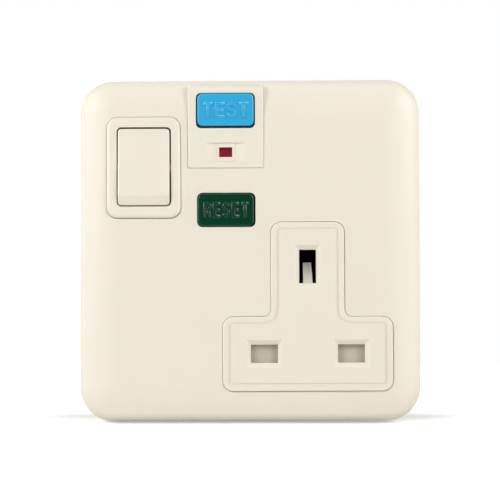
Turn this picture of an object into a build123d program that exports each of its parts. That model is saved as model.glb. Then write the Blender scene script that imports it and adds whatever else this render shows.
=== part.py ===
from build123d import *
from math import cos, radians, sin, tan
import os

# A switched wall socket with a residual current device.
# It is modelled lying on a bench: X to the right, Y up the wall, Z out of the wall,
# with the origin at the middle of the plate on the wall plane. It is stood up when written.

# Front cover
COVER_HALF = 43.6
COVER_CORNER = 8.5
COVER_TOP = 11.0
COVER_WALL = 2.0
SLOPE_WIDTH = 9.9
FLAT_HALF = COVER_HALF - SLOPE_WIDTH
EDGE_RADIUS = 3.0
SLOPE_START = 3.0
SLOPE_END = 20.0
FIT = 0.3
SLIDE = 0.15
TOUCH = 0.1

# Chassis, the plate that everything is built on
CHASSIS_THICKNESS = 3.0
SEAT_DEPTH = 1.0
CLIP_SIZE = (1.0, 6.0)
CLIP_LEVEL = 1.0
CLIP_BITE = 0.7
CLIP_PLACE = 20.0

# Rear housing
HOUSING_WALL = 1.8
HOUSING_CORNER = 3.0
NOTCH_WIDE = 6.5
NOTCH_REACH = 25.6
COLUMN_RADIUS = 2.8
COLUMN_INSET = 4.2

# Screws
BOX_SCREW_PLACE = 30.15
BOX_SCREW_RADIUS = 1.75
BOX_SCREW_NECK = 1.4
BOX_SCREW_LENGTH = 22.0
BOX_HEAD_RADIUS = 3.3
BOX_HEAD_DEPTH = 1.6
SLOT_WIDTH = 0.8
SLOT_DEPTH = 0.6
HOUSING_SCREW_RADIUS = 1.25
HOUSING_HEAD_RADIUS = 2.1
HOUSING_HEAD_DEPTH = 1.6
SCREW_BITE = 1.6

# Socket face, the T shaped moulding that the plug meets
SOCKET_X = 14.7
FACE_TOP = 11.4
FACE_WALL = 2.4
FACE_SEAM = 0.11
FACE_PLAY = 0.03
ARM_HALF = 21.7
ARM_LOW = -36.15
ARM_HIGH = -17.17
STEM_HALF = 9.38
STEM_HIGH = 7.0
FACE_CORNER = 2.7
FACE_INNER_CORNER = 1.9
FACE_EDGE = 0.3
SKIRT_WALL = 1.2
LEDGE = 0.5
LEDGE_LEVEL = 7.2
LEDGE_DEPTH = 1.0
GROOVE_INSET = 1.5
GROOVE_WIDTH = 0.5
GROOVE_DEPTH = 0.2

# Plug pins of the British pattern, and the apertures that they enter
PIN_PITCH = 22.2
PIN_DROP = 22.25
EARTH_Y = -4.35
PIN_APERTURE = (6.9, 4.65)
EARTH_APERTURE = (4.3, 8.6)
LEAD_IN = 1.2
LEAD_IN_DEPTH = 0.9
PIN_SIZE = (6.35, 3.97)
EARTH_PIN = (3.97, 7.95)
PIN_ROOM = 0.45

# Shutter behind the apertures
SHUTTER_TOP = FACE_TOP - FACE_WALL - FIT
SHUTTER_PLATE = 1.5
BLADE_WIDTH = 9.4
BLADE_MARGIN = 0.28
SHUTTER_STEM = 6.4
TONGUE_LEFT = 1.1
TONGUE_RIGHT = (1.35, 0.92)
TONGUE_RISE = 5.5
TONGUE_BREAK = 5.4
TONGUE_SLOPE = 20.0
TONGUE_ROOT = 1.2
SHUTTER_LUG = (3.0, 1.5)
SHUTTER_LUG_Y = -16.5
SHUTTER_SPRING = 1.0
SPRING_RIB_Y = -31.4
SPRING_RIB = (4.0, 1.2)

# Switch bezel and rocker
BEZEL_X = -27.05
BEZEL_SIZE = (18.9, 25.9)
BEZEL_CORNER = 2.8
BEZEL_TOP = 11.5
BEZEL_TILT = 0.9
BEZEL_EDGE = 0.9
BEZEL_LIP = 1.9
BEZEL_END_WALL = 1.5
ROCKER_OPENING = (13.9, 20.3)
ROCKER_Y = 21.15
BEZEL_SHIFT = 0.1
BEZEL_Y = ROCKER_Y - BEZEL_SHIFT
BEZEL_SEAM = 0.09
BEZEL_DROP = 0.06
ROCKER_GAP = 0.35
ROCKER_PLAY = (0.05, 0.05)
ROCKER_CORNER = 0.9
ROCKER_EDGE = 0.45
ROCKER_TOP = 11.5
ROCKER_TILT = 5.5
ROCKER_BAND = 2.4
ROCKER_BAND_DROP = 1.2
ROCKER_FLOOR = 6.4
ROCKER_SHELL = 1.5
ROCKER_HUB = 1.4
ROCKER_PIVOT_Z = 9.8
ROCKER_SWING = 12.0
TRUNNION_RADIUS = 1.0
TRUNNION_REACH = 1.9
RUNNING = 0.05
POST_SIZE = 3.6
POST_LENGTH = 10.4
PLUNGER_RADIUS = 1.1
PLUNGER_TIP = 12.9
PLUNGER_LENGTH = 4.6
PLUNGER_SPRING = 4.2

# Rocking contacts under the switch
SEESAW_HALF = 8.4
SEESAW_WIDTH = 3.2
SEESAW_THICKNESS = 0.8
SEESAW_PIVOT_Z = -3.6
SEESAW_ANGLE = 7.0
SEESAW_BUTTON = 7.2
SEESAW_BEAD = 0.8
RIVET_RADIUS = 1.2
RIVET_HEIGHT = 0.6
BRIDGE_LENGTH = 5.2
BRIDGE_EDGE = 0.8
STRIP = 0.8
BAR_WIDTH = 2.6
LIVE_BAR_Z = -9.0
LIVE_BAR_TURN = 11.4
LIVE_BAR_X = -22.2
LINK_DROP = 0.1
LINK_TURN = (24.4, -21.6)
SWITCH_CONTACT_LEG = 2.65
SWITCH_CONTACT_END = ROCKER_Y + SEESAW_BUTTON + SWITCH_CONTACT_LEG

# Residual current panel with its test button and its window
PANEL_X = (-15.8, 3.6)
PANEL_INSET = 1.3
PANEL_Y = (20.85, COVER_HALF - PANEL_INSET)
PANEL_SEAM = 0.06
PANEL_TOP = 11.55
PANEL_LOW_EDGE = 11.3
PANEL_CREASE = 30.8
PANEL_BROW = 2.1
PANEL_CORNER = 1.25
PANEL_LOW_CORNER = 0.5
PANEL_WALL = 1.8
PANEL_SKIRT = 1.5
PANEL_TOP_SKIRT = 0.7
PANEL_EDGE = 0.3
BROW_LEVEL = 5.8

# Buttons
BUTTON_X = -6.1
TEST_INSET = 6.56
TEST_Y = PANEL_Y[1] - TEST_INSET
TEST_OPENING = (15.1, 9.05)
TEST_BUTTON = (14.35, 8.25)
TEST_PLAY = (0.03, 0.2)
TEST_GUIDE = 1.0
TEST_CORNER = 1.3
TEST_TOP = 12.1
RESET_Y = 10.15
RESET_OPENING = (14.9, 8.8)
RESET_BUTTON = (14.25, 8.4)
RESET_PLAY = (-0.12, 0.0)
RESET_GUIDE = 0.6
RESET_CORNER = 1.4
RESET_TOP = 11.5
BUTTON_EDGE = 0.35
BUTTON_TRAVEL = 2.0
BUTTON_FLANGE = 0.8
BUTTON_LIP = 0.25
GUIDE_WALL = 1.0
TEST_STEM = 1.2
RESET_STEM = 1.8
BUTTON_SPRING = 2.6
TEST_LEAF = (2.6, 0.3)
TEST_LEAF_DEPTH = 0.8
TEST_LEAF_REACH = 2.46
TEST_LEAF_Y = (29.6, TEST_Y + TEST_LEAF_REACH)
TEST_SLOT = 0.4

# Window and the flag behind it
WINDOW_Y = 24.9
WINDOW_SIZE = (3.35, 2.5)
FRAME_SIZE = (4.6, 4.7)
DISH_SIZE = (10.9, 4.8)
DISH_DEPTH = 0.7
FRAME_SINK = 0.15
LENS_SINK = 0.5
LENS_DEPTH = 1.6
FLAG_ROOM = 0.45
FLAG_PIVOT_Z = -0.6
FLAG_RADIUS = PANEL_LOW_EDGE - FRAME_SINK - LENS_SINK - LENS_DEPTH - FLAG_ROOM - FLAG_PIVOT_Z
FLAG_THICKNESS = 0.8
FLAG_WIDTH = 4.4
FLAG_SPAN = 21.0
FLAG_SWING = 19.0
FLAG_PIN_RADIUS = 0.8
FLAG_HUB = 1.7
FLAG_WEB = 1.6
FLAG_FOOT = 0.5
FLAG_EAR = (1.4, 4.0)

# Latched carriage that holds the contacts closed
CARRIAGE_X = (-15.0, 2.8)
CARRIAGE_Y = (5.5, 14.8)
CARRIAGE_Z = (-10.8, -4.2)
CARRIAGE_DROP = 2.5
CARRIAGE_BORE = 2.6
FINGER_SIZE = (3.0, 3.4)
GUIDE_SIZE = (1.6, 1.4)
GUIDE_PLACE = 2.7
GUIDE_END = CARRIAGE_Z[0] - CARRIAGE_DROP
TRIP_SPRING = 1.5
TRIP_SPRING_PLACE = 3.8
POLES = (-12.0, -0.2)
MOVING_Y = (1.8, 18.8)
POLE_WIDTH = 3.4
MOVING_Z = -5.2
FIXED_Y = (3.2, 17.4)
FIXED_LENGTH = 5.2
LATCH_Z = -9.2
LATCH_THICKNESS = 0.8
LATCH_TRAVEL = 1.5
LATCH_WIDTH = 6.4
LATCH_TAIL = 3.4
LATCH_HOOK = 1.35
LATCH_WINDOW = 2.2
LATCH_TAB = (4.0, 3.2)
NECK_RADIUS = 1.2
NECK_TOP = -3.0
CATCH_CONE = 0.75
CATCH_LENGTH = 1.0

# Solenoid
SOLENOID_X = (6.4, 21.6)
SOLENOID_WIDTH = 10.8
SOLENOID_TOP = -3.4
SOLENOID_PLATE = 1.2
BOBBIN_FLANGE = 4.1
BOBBIN_TUBE = 0.6
COIL_RADIUS = 3.8
CORE_RADIUS = 1.6
CORE_LENGTH = 14.0

# Circuit board
BOARD_X = (-19.4, 22.2)
BOARD_Y = (1.4, 25.6)
BOARD_THICKNESS = 1.6
BOARD_DROP = 1.0
BOARD_TOP = GUIDE_END - BOARD_DROP
BOARD_ROOM = 2.0
PEG_RADIUS = 1.6
PEG_INSET = 2.6
PEG_PIN = 0.8
PEG_RISE = 0.5
CHIP = (10.0, 6.2, 3.4)
CHIP_PLACE = (-10.0, 18.0)
CAPACITOR = (3.6, 11.0)
CAPACITOR_PLACE = (10.0, 9.0)
VARISTOR = (4.0, 3.4)
VARISTOR_PLACE = (-12.0, 7.0)
RESISTOR = (1.2, 6.4)
RESISTOR_PLACES = ((0.0, 19.5), (0.0, 16.0), (0.0, 12.5))
DIODE = (1.3, 4.6)
DIODE_PLACES = ((9.0, 17.0), (9.0, 20.6), (15.0, 17.0), (15.0, 20.6))
THYRISTOR = (2.4, 4.6)
THYRISTOR_PLACE = (-2.6, 6.0)

# Current transformer round both supply leads
TOROID_X = -11.5
TOROID_Y = -12.5
TOROID_OUTER = 8.9
TOROID_INNER = 4.6
TOROID_Z = (-13.6, -5.2)
TOROID_CASE = 0.8
TOROID_WINDING = 0.8
TOROID_POSTS = (0.0, 75.0, 150.0)
TOROID_POST = 1.2
LEAD_RADIUS = 1.1
LEAD_SPREAD = 2.2
LEAD_BEND = 1.8
LEAD_LOW = -17.2
LEAD_HIGH = -2.0
LEAD_START = 2.8
LEAD_RUN = 4.2

# The rear housing's size follows from what it holds
WALL_ROOM = 0.7
HOUSING_HALF = SWITCH_CONTACT_END + WALL_ROOM + HOUSING_WALL
HOUSING_DEPTH = BOARD_THICKNESS + TOUCH + 2 * CAPACITOR[0] + BOARD_ROOM + HOUSING_WALL - BOARD_TOP
COLUMN_OUT = HOUSING_HALF - COLUMN_INSET
COLUMNS = ((COLUMN_OUT, COLUMN_OUT), (COLUMN_OUT, -12.0), (-COLUMN_OUT, -COLUMN_OUT), (-16.6, COLUMN_OUT))

# Terminals
TERMINAL_X = (-21.0, -8.0, SOCKET_X)
TERMINAL_SIZE = (8.0, 11.0, 9.0)
CABLE_BORE = 2.1
CABLE_DEPTH = 8.5
CABLE_ENTRY = 2.7
CLAMP_SCREW = 1.6
CLAMP_HEAD = 2.4
CLAMP_HEAD_DEPTH = 1.4
TERMINAL_Y = TERMINAL_SIZE[1] + FIT + HOUSING_WALL - HOUSING_HALF
TERMINAL_Z = TERMINAL_SIZE[2] / 2 + CLAMP_HEAD_DEPTH + FIT + HOUSING_WALL - HOUSING_DEPTH

# Plug contacts
CONTACT_TOP = -1.2
CONTACT_LENGTH = 9.0
CONTACT_GAP = 3.2
CONTACT_PINCH = 0.5
EARTH_LENGTH = 11.5
LEAF = 0.7
CONTACT_POST = 5.0
CONTACT_MOUTH = 0.15
NEUTRAL_BAR_X = 20.5
NEUTRAL_FOOT = -8.2
EARTH_STRAP = 5.0

# Springs
SPRING_WIRE = 0.3


def block(x, y, z):
    """A box between low and high values along each axis."""
    size = [high - low for low, high in (x, y, z)]
    middle = [(high + low) / 2 for low, high in (x, y, z)]
    return Pos(*middle) * Box(*size)


def about(middle, length):
    """The low and high values of a length centred on a place."""
    return middle - length / 2, middle + length / 2


def rod_z(x, y, z, radius):
    """A round rod between two levels."""
    low, high = z
    return Pos(x, y, (low + high) / 2) * Cylinder(radius, high - low)


def rod_x(x, y, z, radius):
    """A round rod that lies across."""
    low, high = x
    return Pos((low + high) / 2, y, z) * Rot(0, 90, 0) * Cylinder(radius, high - low)


def rod_y(x, y, z, radius):
    """A round rod that lies up the wall."""
    low, high = y
    return Pos(x, (low + high) / 2, z) * Rot(90, 0, 0) * Cylinder(radius, high - low)


def plan(middle, size, corner):
    """A rounded rectangle seen from the front."""
    return Pos(*middle) * RectangleRounded(size[0], size[1], corner)


def prism(sketch, z):
    """A front outline given its depth."""
    low, high = z
    return extrude(Pos(0, 0, low) * sketch, high - low)


def side_prism(points, x):
    """An outline of up-the-wall and outward values, extruded across."""
    low, high = x
    face = make_face(Polyline(*points, close=True))
    return extrude(Plane.YZ.offset(low) * face, high - low)


def strip(points, width, z):
    """A flat metal strip that follows a line of places."""
    return prism(trace(Polyline(*points), width), z)


def dome(half, corner, top, edge):
    """A square plate, flat in the middle, that falls away to upright rounded sides."""
    start = radians(SLOPE_START)
    end = radians(SLOPE_END)
    radius = (half - FLAT_HALF - edge * (1 - sin(end))) / (sin(end) - sin(start))
    slope = JernArc((FLAT_HALF, top), (cos(start), -sin(start)), radius, SLOPE_START - SLOPE_END)
    turn = JernArc(slope @ 1, slope % 1, edge, SLOPE_END - 90)
    side = Line(turn @ 1, (half, 0))
    right = make_face([Line((0, 0), (0, top)), Line((0, top), (FLAT_HALF, top)), slope, turn, side,
                       Line((half, 0), (0, 0))])
    profile = right + mirror(right, about=Plane.YZ)
    centre = half - corner
    across = extrude(Plane.XZ.offset(-half) * profile, 2 * half)
    upward = Rot(0, 0, 90) * across
    cross = prism(Rectangle(2 * half, 2 * centre) + Rectangle(2 * centre, 2 * half), (0, top))
    shape = across & upward & cross
    quarter = Pos(-centre, 0) * (right & Pos(centre + corner / 2, top / 2) * Rectangle(corner, top))
    cap = revolve(Plane.XZ * quarter, axis=Axis.Z)
    for sign_x in (-1, 1):
        for sign_y in (-1, 1):
            shape += Pos(sign_x * centre, sign_y * centre) * cap
    return shape


def face_outline(grow):
    """The T of the socket face, larger or smaller all round."""
    arm = Pos(SOCKET_X, (ARM_LOW + ARM_HIGH) / 2) * Rectangle(2 * ARM_HALF, ARM_HIGH - ARM_LOW)
    stem = Pos(SOCKET_X, (ARM_LOW + STEM_HIGH) / 2) * Rectangle(2 * STEM_HALF, STEM_HIGH - ARM_LOW)
    outline = arm + stem
    inner = [v for v in outline.vertices() if abs(v.Y - ARM_HIGH) < FACE_EDGE
             and abs(v.X - SOCKET_X) < ARM_HALF - FACE_EDGE]
    outer = [v for v in outline.vertices() if v not in inner]
    outline = fillet(outer, FACE_CORNER)
    inner = [v for v in outline.vertices() if abs(v.Y - ARM_HIGH) < FACE_EDGE
             and abs(abs(v.X - SOCKET_X) - STEM_HALF) < FACE_EDGE]
    outline = fillet(inner, FACE_INNER_CORNER)
    return offset(outline, grow) if grow else outline


def bezel_outline(grow):
    """The switch bezel's outline, larger or smaller all round."""
    size = [length + 2 * grow for length in BEZEL_SIZE]
    return plan((BEZEL_X, BEZEL_Y), size, BEZEL_CORNER + grow)


def panel_outline(grow):
    """The residual current panel's outline, rounded more at its top corners."""
    left, right = PANEL_X[0] - grow, PANEL_X[1] + grow
    low, high = PANEL_Y[0] - grow, PANEL_Y[1] + grow
    outline = Pos((left + right) / 2, (low + high) / 2) * Rectangle(right - left, high - low)
    outline = fillet([v for v in outline.vertices() if v.Y < PANEL_CREASE], PANEL_LOW_CORNER + grow)
    return fillet([v for v in outline.vertices() if v.Y > PANEL_CREASE], PANEL_CORNER + grow)


def pin_places():
    """The middles of the live and neutral pins."""
    row = EARTH_Y - PIN_DROP
    return [(SOCKET_X - PIN_PITCH / 2, row), (SOCKET_X + PIN_PITCH / 2, row)]


def chassis_half():
    """Half the width of the chassis plate, a fit inside the cover."""
    return COVER_HALF - COVER_WALL - FIT


def housing_outline(grow):
    """The rear housing's outline, with a notch at each side for the box screws."""
    side = 2 * (HOUSING_HALF + grow)
    outline = RectangleRounded(side, side, HOUSING_CORNER + grow)
    reach = NOTCH_REACH + grow
    notch = Rectangle(HOUSING_HALF, 2 * (NOTCH_WIDE - grow))
    for sign in (-1, 1):
        outline -= Pos(sign * (reach + HOUSING_HALF / 2), 0) * notch
    return outline


def ledge(outline):
    """The lip of a front moulding that the cover traps."""
    return prism(outline, (LEDGE_LEVEL, LEDGE_LEVEL + LEDGE_DEPTH))


def front_cover():
    """Clip-on moulded cover with an opening for each piece that shows through it."""
    wall = COVER_WALL
    cover = dome(COVER_HALF, COVER_CORNER, COVER_TOP, EDGE_RADIUS)
    cover -= dome(COVER_HALF - wall, COVER_CORNER - wall, COVER_TOP - wall, EDGE_RADIUS - wall)
    through = (LEDGE_LEVEL, 2 * COVER_TOP)
    cover -= prism(Pos(FACE_PLAY, 0) * face_outline(FACE_SEAM), through)
    cover -= prism(Pos(0, -BEZEL_DROP) * bezel_outline(BEZEL_SEAM), through)
    cover -= prism(panel_outline(PANEL_SEAM), (BROW_LEVEL - PANEL_SEAM, 2 * COVER_TOP))
    cover += guide(RESET_Y, RESET_OPENING, RESET_PLAY, RESET_CORNER, (reset_under(), COVER_TOP - wall))
    cover -= prism(opening(RESET_Y, RESET_OPENING, RESET_PLAY, RESET_CORNER), (reset_under(), 2 * COVER_TOP))
    inner = COVER_HALF - wall
    clip_depth, clip_length = CLIP_SIZE
    for sign in (-1, 1):
        for place in (-CLIP_PLACE, CLIP_PLACE):
            low, high = sorted((sign * (inner - CLIP_BITE), sign * (inner + wall / 2)))
            cover += block((low, high), about(place, clip_length), (CLIP_LEVEL, CLIP_LEVEL + clip_depth))
    return cover


def chassis():
    """Moulded plate that holds the works and screws to the wall box."""
    half = chassis_half()
    corner = COVER_CORNER - COVER_WALL - FIT
    top = CHASSIS_THICKNESS
    plate = prism(RectangleRounded(2 * half, 2 * half, corner), (0, top))
    plate -= prism(housing_outline(SLIDE), (0, SEAT_DEPTH))
    clip_depth, clip_length = CLIP_SIZE
    for sign in (-1, 1):
        for place in (-CLIP_PLACE, CLIP_PLACE):
            low, high = sorted((sign * (half + FIT - CLIP_BITE - SLIDE), sign * (half + COVER_WALL)))
            notch = (CLIP_LEVEL - SLIDE, CLIP_LEVEL + clip_depth + SLIDE)
            plate -= block((low, high), about(place, clip_length + 2 * SLIDE), notch)
        screw_x = sign * BOX_SCREW_PLACE
        plate -= rod_z(screw_x, 0, (0, top), BOX_SCREW_RADIUS + SLIDE)
        plate -= rod_z(screw_x, 0, (top - BOX_HEAD_DEPTH, top), BOX_HEAD_RADIUS + SLIDE)
    for x, y in COLUMNS:
        plate -= rod_z(x, y, (SEAT_DEPTH, SEAT_DEPTH + SCREW_BITE), HOUSING_SCREW_RADIUS)
    for x, y in pin_places():
        hole = [size + 2 * PIN_ROOM for size in PIN_SIZE]
        plate -= block(about(x, hole[0]), about(y, hole[1]), (0, top))
    hole = [size + 2 * PIN_ROOM for size in EARTH_PIN]
    plate -= block(about(SOCKET_X, hole[0]), about(EARTH_Y, hole[1]), (0, top))
    lean = POST_LENGTH * sin(radians(ROCKER_SWING / 2)) + FIT
    well = (POST_SIZE + 2 * FIT, POST_SIZE + 2 * lean)
    plate -= block(about(BEZEL_X, well[0]), about(ROCKER_Y, well[1]), (0, top))
    plate -= rod_z(BUTTON_X, RESET_Y, (0, top), RESET_STEM + RUNNING)
    leaf_width, leaf_gauge = TEST_LEAF
    channel = (top - TEST_LEAF_DEPTH - TOUCH, top)
    low, high = TEST_LEAF_Y
    width = leaf_width + 2 * SLIDE
    plate -= block(about(BUTTON_X, width), (low - TEST_SLOT, high + SLIDE), channel)
    plate -= block(about(BUTTON_X, width), (low - TEST_SLOT, low + leaf_gauge + TEST_SLOT), (0, top))
    sweep_low = FLAG_RADIUS * sin(radians(FLAG_SWING)) + FIT
    slot_width = FLAG_WIDTH + 2 * FIT
    slot = (WINDOW_Y - sweep_low, WINDOW_Y + FLAG_HUB + FIT)
    plate -= block(about(BUTTON_X, slot_width), slot, (0, top))
    for sign in (-1, 1):
        ear_low, ear_high = sorted((sign * slot_width / 2, sign * (slot_width / 2 + FLAG_EAR[0])))
        ear_z = (FLAG_PIVOT_Z - FLAG_EAR[1] / 2, SEAT_DEPTH)
        plate += block((BUTTON_X + ear_low, BUTTON_X + ear_high), about(WINDOW_Y, FLAG_EAR[1]), ear_z)
    pin = about(BUTTON_X, slot_width + 2 * FLAG_EAR[0])
    plate -= rod_x(pin, WINDOW_Y, FLAG_PIVOT_Z, FLAG_PIN_RADIUS)
    for side_y in (CARRIAGE_Y[0] - SLIDE - GUIDE_SIZE[1], CARRIAGE_Y[1] + SLIDE):
        for x in (BUTTON_X - GUIDE_PLACE, BUTTON_X + GUIDE_PLACE):
            guide = (side_y, side_y + GUIDE_SIZE[1])
            plate += block(about(x, GUIDE_SIZE[0]), guide, (GUIDE_END, SEAT_DEPTH))
    rib_width, rib_depth = SPRING_RIB
    rib_top = SHUTTER_TOP - SHUTTER_PLATE - FIT
    plate += block(about(SOCKET_X, rib_width), (SPRING_RIB_Y - rib_depth, SPRING_RIB_Y), (top, rib_top))
    return plate


def socket_face():
    """The T shaped moulding with the three plug apertures."""
    face = prism(face_outline(0), (CHASSIS_THICKNESS, FACE_TOP))
    rim = [e for e in face.edges() if abs(e.center().Z - FACE_TOP) < FACE_EDGE]
    face = fillet(rim, FACE_EDGE)
    face -= prism(face_outline(-SKIRT_WALL), (CHASSIS_THICKNESS, FACE_TOP - FACE_WALL))
    face += ledge(face_outline(LEDGE) - face_outline(-SKIRT_WALL / 2))
    groove = face_outline(-GROOVE_INSET) - face_outline(-GROOVE_INSET - GROOVE_WIDTH)
    face -= prism(groove, (FACE_TOP - GROOVE_DEPTH, FACE_TOP))
    holes = [(x, y, PIN_APERTURE) for x, y in pin_places()]
    holes.append((SOCKET_X, EARTH_Y, EARTH_APERTURE))
    for x, y, (width, height) in holes:
        face -= block(about(x, width), about(y, height), (FACE_TOP - FACE_WALL, FACE_TOP))
        outer = Pos(x, y, FACE_TOP) * Rectangle(width + 2 * LEAD_IN, height + 2 * LEAD_IN)
        inner = Pos(x, y, FACE_TOP - LEAD_IN_DEPTH) * Rectangle(width, height)
        face -= loft([inner, outer])
    return face


def blade_rows():
    """The shutter blades' lower and upper edges, a margin over the apertures."""
    row = EARTH_Y - PIN_DROP
    half = PIN_APERTURE[1] / 2 + BLADE_MARGIN
    return row - half, row + half


def shutter():
    """Sliding shutter: two blades, a stem, and the ramp that the earth pin presses."""
    low, high = blade_rows()
    plate = (SHUTTER_TOP - SHUTTER_PLATE, SHUTTER_TOP)
    root = EARTH_Y - EARTH_APERTURE[1] / 2
    body = block(about(SOCKET_X, PIN_PITCH + BLADE_WIDTH), (low, high), plate)
    body += block(about(SOCKET_X, SHUTTER_STEM), (high, root), plate)
    floor = CHASSIS_THICKNESS + SLIDE
    slope = tan(radians(TONGUE_SLOPE))
    break_z = SHUTTER_TOP - TONGUE_BREAK * slope
    tip = root + TONGUE_RISE
    outline = [(root - TONGUE_ROOT, SHUTTER_TOP), (root, SHUTTER_TOP), (root + TONGUE_BREAK, break_z),
               (tip, floor + TOUCH), (tip, floor), (root - TONGUE_ROOT, floor)]
    right, tip_right = TONGUE_RIGHT
    tongue = side_prism(outline, (SOCKET_X - TONGUE_LEFT, SOCKET_X + right))
    corners = [(-TONGUE_LEFT, root - TONGUE_ROOT), (right, root - TONGUE_ROOT), (right, root),
               (tip_right, tip), (-TONGUE_LEFT, tip)]
    taper = Pos(SOCKET_X, 0) * make_face(Polyline(*corners, close=True))
    body += tongue & prism(taper, (floor, SHUTTER_TOP))
    lug_width, lug_depth = SHUTTER_LUG
    lug = (SHUTTER_LUG_Y, SHUTTER_LUG_Y + lug_depth)
    body += block(about(SOCKET_X, lug_width), lug, (floor, SHUTTER_TOP - SHUTTER_PLATE))
    return body


def coil_spring(length, radius):
    """A compression spring that stands on the origin."""
    rise = length - 2 * SPRING_WIRE
    turns = round(rise / (4 * SPRING_WIRE))
    helix = Helix(rise / turns, rise, radius - SPRING_WIRE)
    wire = sweep(Plane(helix @ 0, z_dir=helix % 0) * Circle(SPRING_WIRE), path=helix)
    return Pos(0, 0, SPRING_WIRE) * wire


def shutter_spring():
    """Spring that lifts the shutter back over the apertures."""
    length = SHUTTER_LUG_Y - SPRING_RIB_Y
    level = (CHASSIS_THICKNESS + SHUTTER_TOP - SHUTTER_PLATE) / 2
    return Pos(SOCKET_X, SHUTTER_LUG_Y, level) * Rot(90, 0, 0) * coil_spring(length, SHUTTER_SPRING)


def switch_bezel():
    """Raised surround of the switch, with the rocker's bearings in its sides."""
    width, height = BEZEL_SIZE
    low, high = about(BEZEL_Y, height)
    drop = height * tan(radians(BEZEL_TILT))
    side = [(low, CHASSIS_THICKNESS), (high, CHASSIS_THICKNESS), (high, BEZEL_TOP), (low, BEZEL_TOP + drop)]
    bezel = prism(bezel_outline(0), (CHASSIS_THICKNESS, BEZEL_TOP + drop))
    bezel &= side_prism(side, about(BEZEL_X, width))
    front = bezel.faces().sort_by(Axis.Z)[-1]
    bezel = fillet(front.edges(), BEZEL_EDGE)
    bezel += ledge(bezel_outline(LEDGE))
    middle = (BEZEL_X + ROCKER_PLAY[0], ROCKER_Y + ROCKER_PLAY[1])
    hole = plan(middle, ROCKER_OPENING, ROCKER_CORNER + ROCKER_GAP)
    bezel -= prism(hole, (CHASSIS_THICKNESS, BEZEL_TOP + drop))
    inside = about(BEZEL_Y, height - 2 * BEZEL_END_WALL)
    under_lip = (CHASSIS_THICKNESS, BEZEL_TOP - BEZEL_LIP)
    bezel -= block(about(middle[0], ROCKER_OPENING[0]), inside, under_lip)
    bearing = about(BEZEL_X, rocker_width() + 2 * TRUNNION_REACH + 2 * SLIDE)
    bezel -= rod_x(bearing, ROCKER_Y, ROCKER_PIVOT_Z, TRUNNION_RADIUS + RUNNING)
    return bezel


def rocker_width():
    """The rocker's width between the sides of its opening."""
    return ROCKER_OPENING[0] - 2 * ROCKER_GAP


def rocker_ends():
    """The rocker's lower and upper ends."""
    return about(ROCKER_Y, ROCKER_OPENING[1] - 2 * ROCKER_GAP)


def at_off(shape):
    """Turns what is drawn upright on the rocker's pivot to the off position."""
    return Pos(BEZEL_X, ROCKER_Y, ROCKER_PIVOT_Z) * Rot(-ROCKER_SWING / 2, 0, 0) * shape


def rocker():
    """The switch rocker, shown off: its lower end stands out."""
    low, high = rocker_ends()
    width = rocker_width()
    rise = tan(radians(ROCKER_TILT))
    fold = low + ROCKER_BAND
    fold_z = ROCKER_TOP + (high - fold) * rise
    side = [(low, ROCKER_FLOOR), (high, ROCKER_FLOOR), (high, ROCKER_TOP), (fold, fold_z),
            (low, fold_z - ROCKER_BAND_DROP)]
    body = side_prism(side, about(BEZEL_X, width))
    body &= prism(plan((BEZEL_X, ROCKER_Y), (width, high - low), ROCKER_CORNER), (ROCKER_FLOOR, fold_z))
    front = [f for f in body.faces() if f.normal_at().Z > sin(radians(ROCKER_SWING))]
    rim = [e for f in front for e in f.edges()]
    body = fillet(rim, ROCKER_EDGE)
    shell = ROCKER_SHELL
    hollow = [(fold, ROCKER_FLOOR), (high - shell, ROCKER_FLOOR), (high - shell, ROCKER_TOP - shell),
              (fold, fold_z - shell - rise)]
    body -= side_prism(hollow, about(BEZEL_X, width - 2 * shell))
    body += rod_x(about(BEZEL_X, width), ROCKER_Y, ROCKER_PIVOT_Z, ROCKER_HUB)
    body += rod_x(about(BEZEL_X, width + 2 * TRUNNION_REACH), ROCKER_Y, ROCKER_PIVOT_Z, TRUNNION_RADIUS)
    post = (-POST_LENGTH, ROCKER_TOP - ROCKER_PIVOT_Z)
    body += at_off(block(about(0, POST_SIZE), about(0, POST_SIZE), post))
    bore = (-POST_LENGTH, PLUNGER_LENGTH + PLUNGER_SPRING - PLUNGER_TIP)
    body -= at_off(rod_z(0, 0, bore, PLUNGER_RADIUS + RUNNING))
    return body


def rocker_plunger():
    """Sprung plunger in the rocker's post that tips the rocking contact."""
    straight = (-PLUNGER_TIP + PLUNGER_RADIUS, PLUNGER_LENGTH - PLUNGER_TIP)
    pin = rod_z(0, 0, straight, PLUNGER_RADIUS) + Pos(0, 0, straight[0]) * Sphere(PLUNGER_RADIUS)
    return at_off(pin)


def rocker_spring():
    """Spring behind the plunger."""
    coil = coil_spring(PLUNGER_SPRING, PLUNGER_RADIUS)
    return at_off(Pos(0, 0, PLUNGER_LENGTH - PLUNGER_TIP) * coil)


def seesaw_contact():
    """Rocking contact strip, tipped away from its fixed contact while off."""
    half = SEESAW_THICKNESS / 2
    arm = block(about(0, SEESAW_WIDTH), about(0, 2 * SEESAW_HALF), (-half, half))
    arm += rod_z(0, SEESAW_BUTTON, (-half - RIVET_HEIGHT, -half), RIVET_RADIUS)
    under = block(about(0, SEESAW_WIDTH), about(0, 2 * SEESAW_BEAD), (-SEESAW_BEAD, 0))
    arm += rod_x(about(0, SEESAW_WIDTH), 0, 0, SEESAW_BEAD) & under
    return Pos(BEZEL_X, ROCKER_Y, SEESAW_PIVOT_Z) * Rot(SEESAW_ANGLE, 0, 0) * arm


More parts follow.
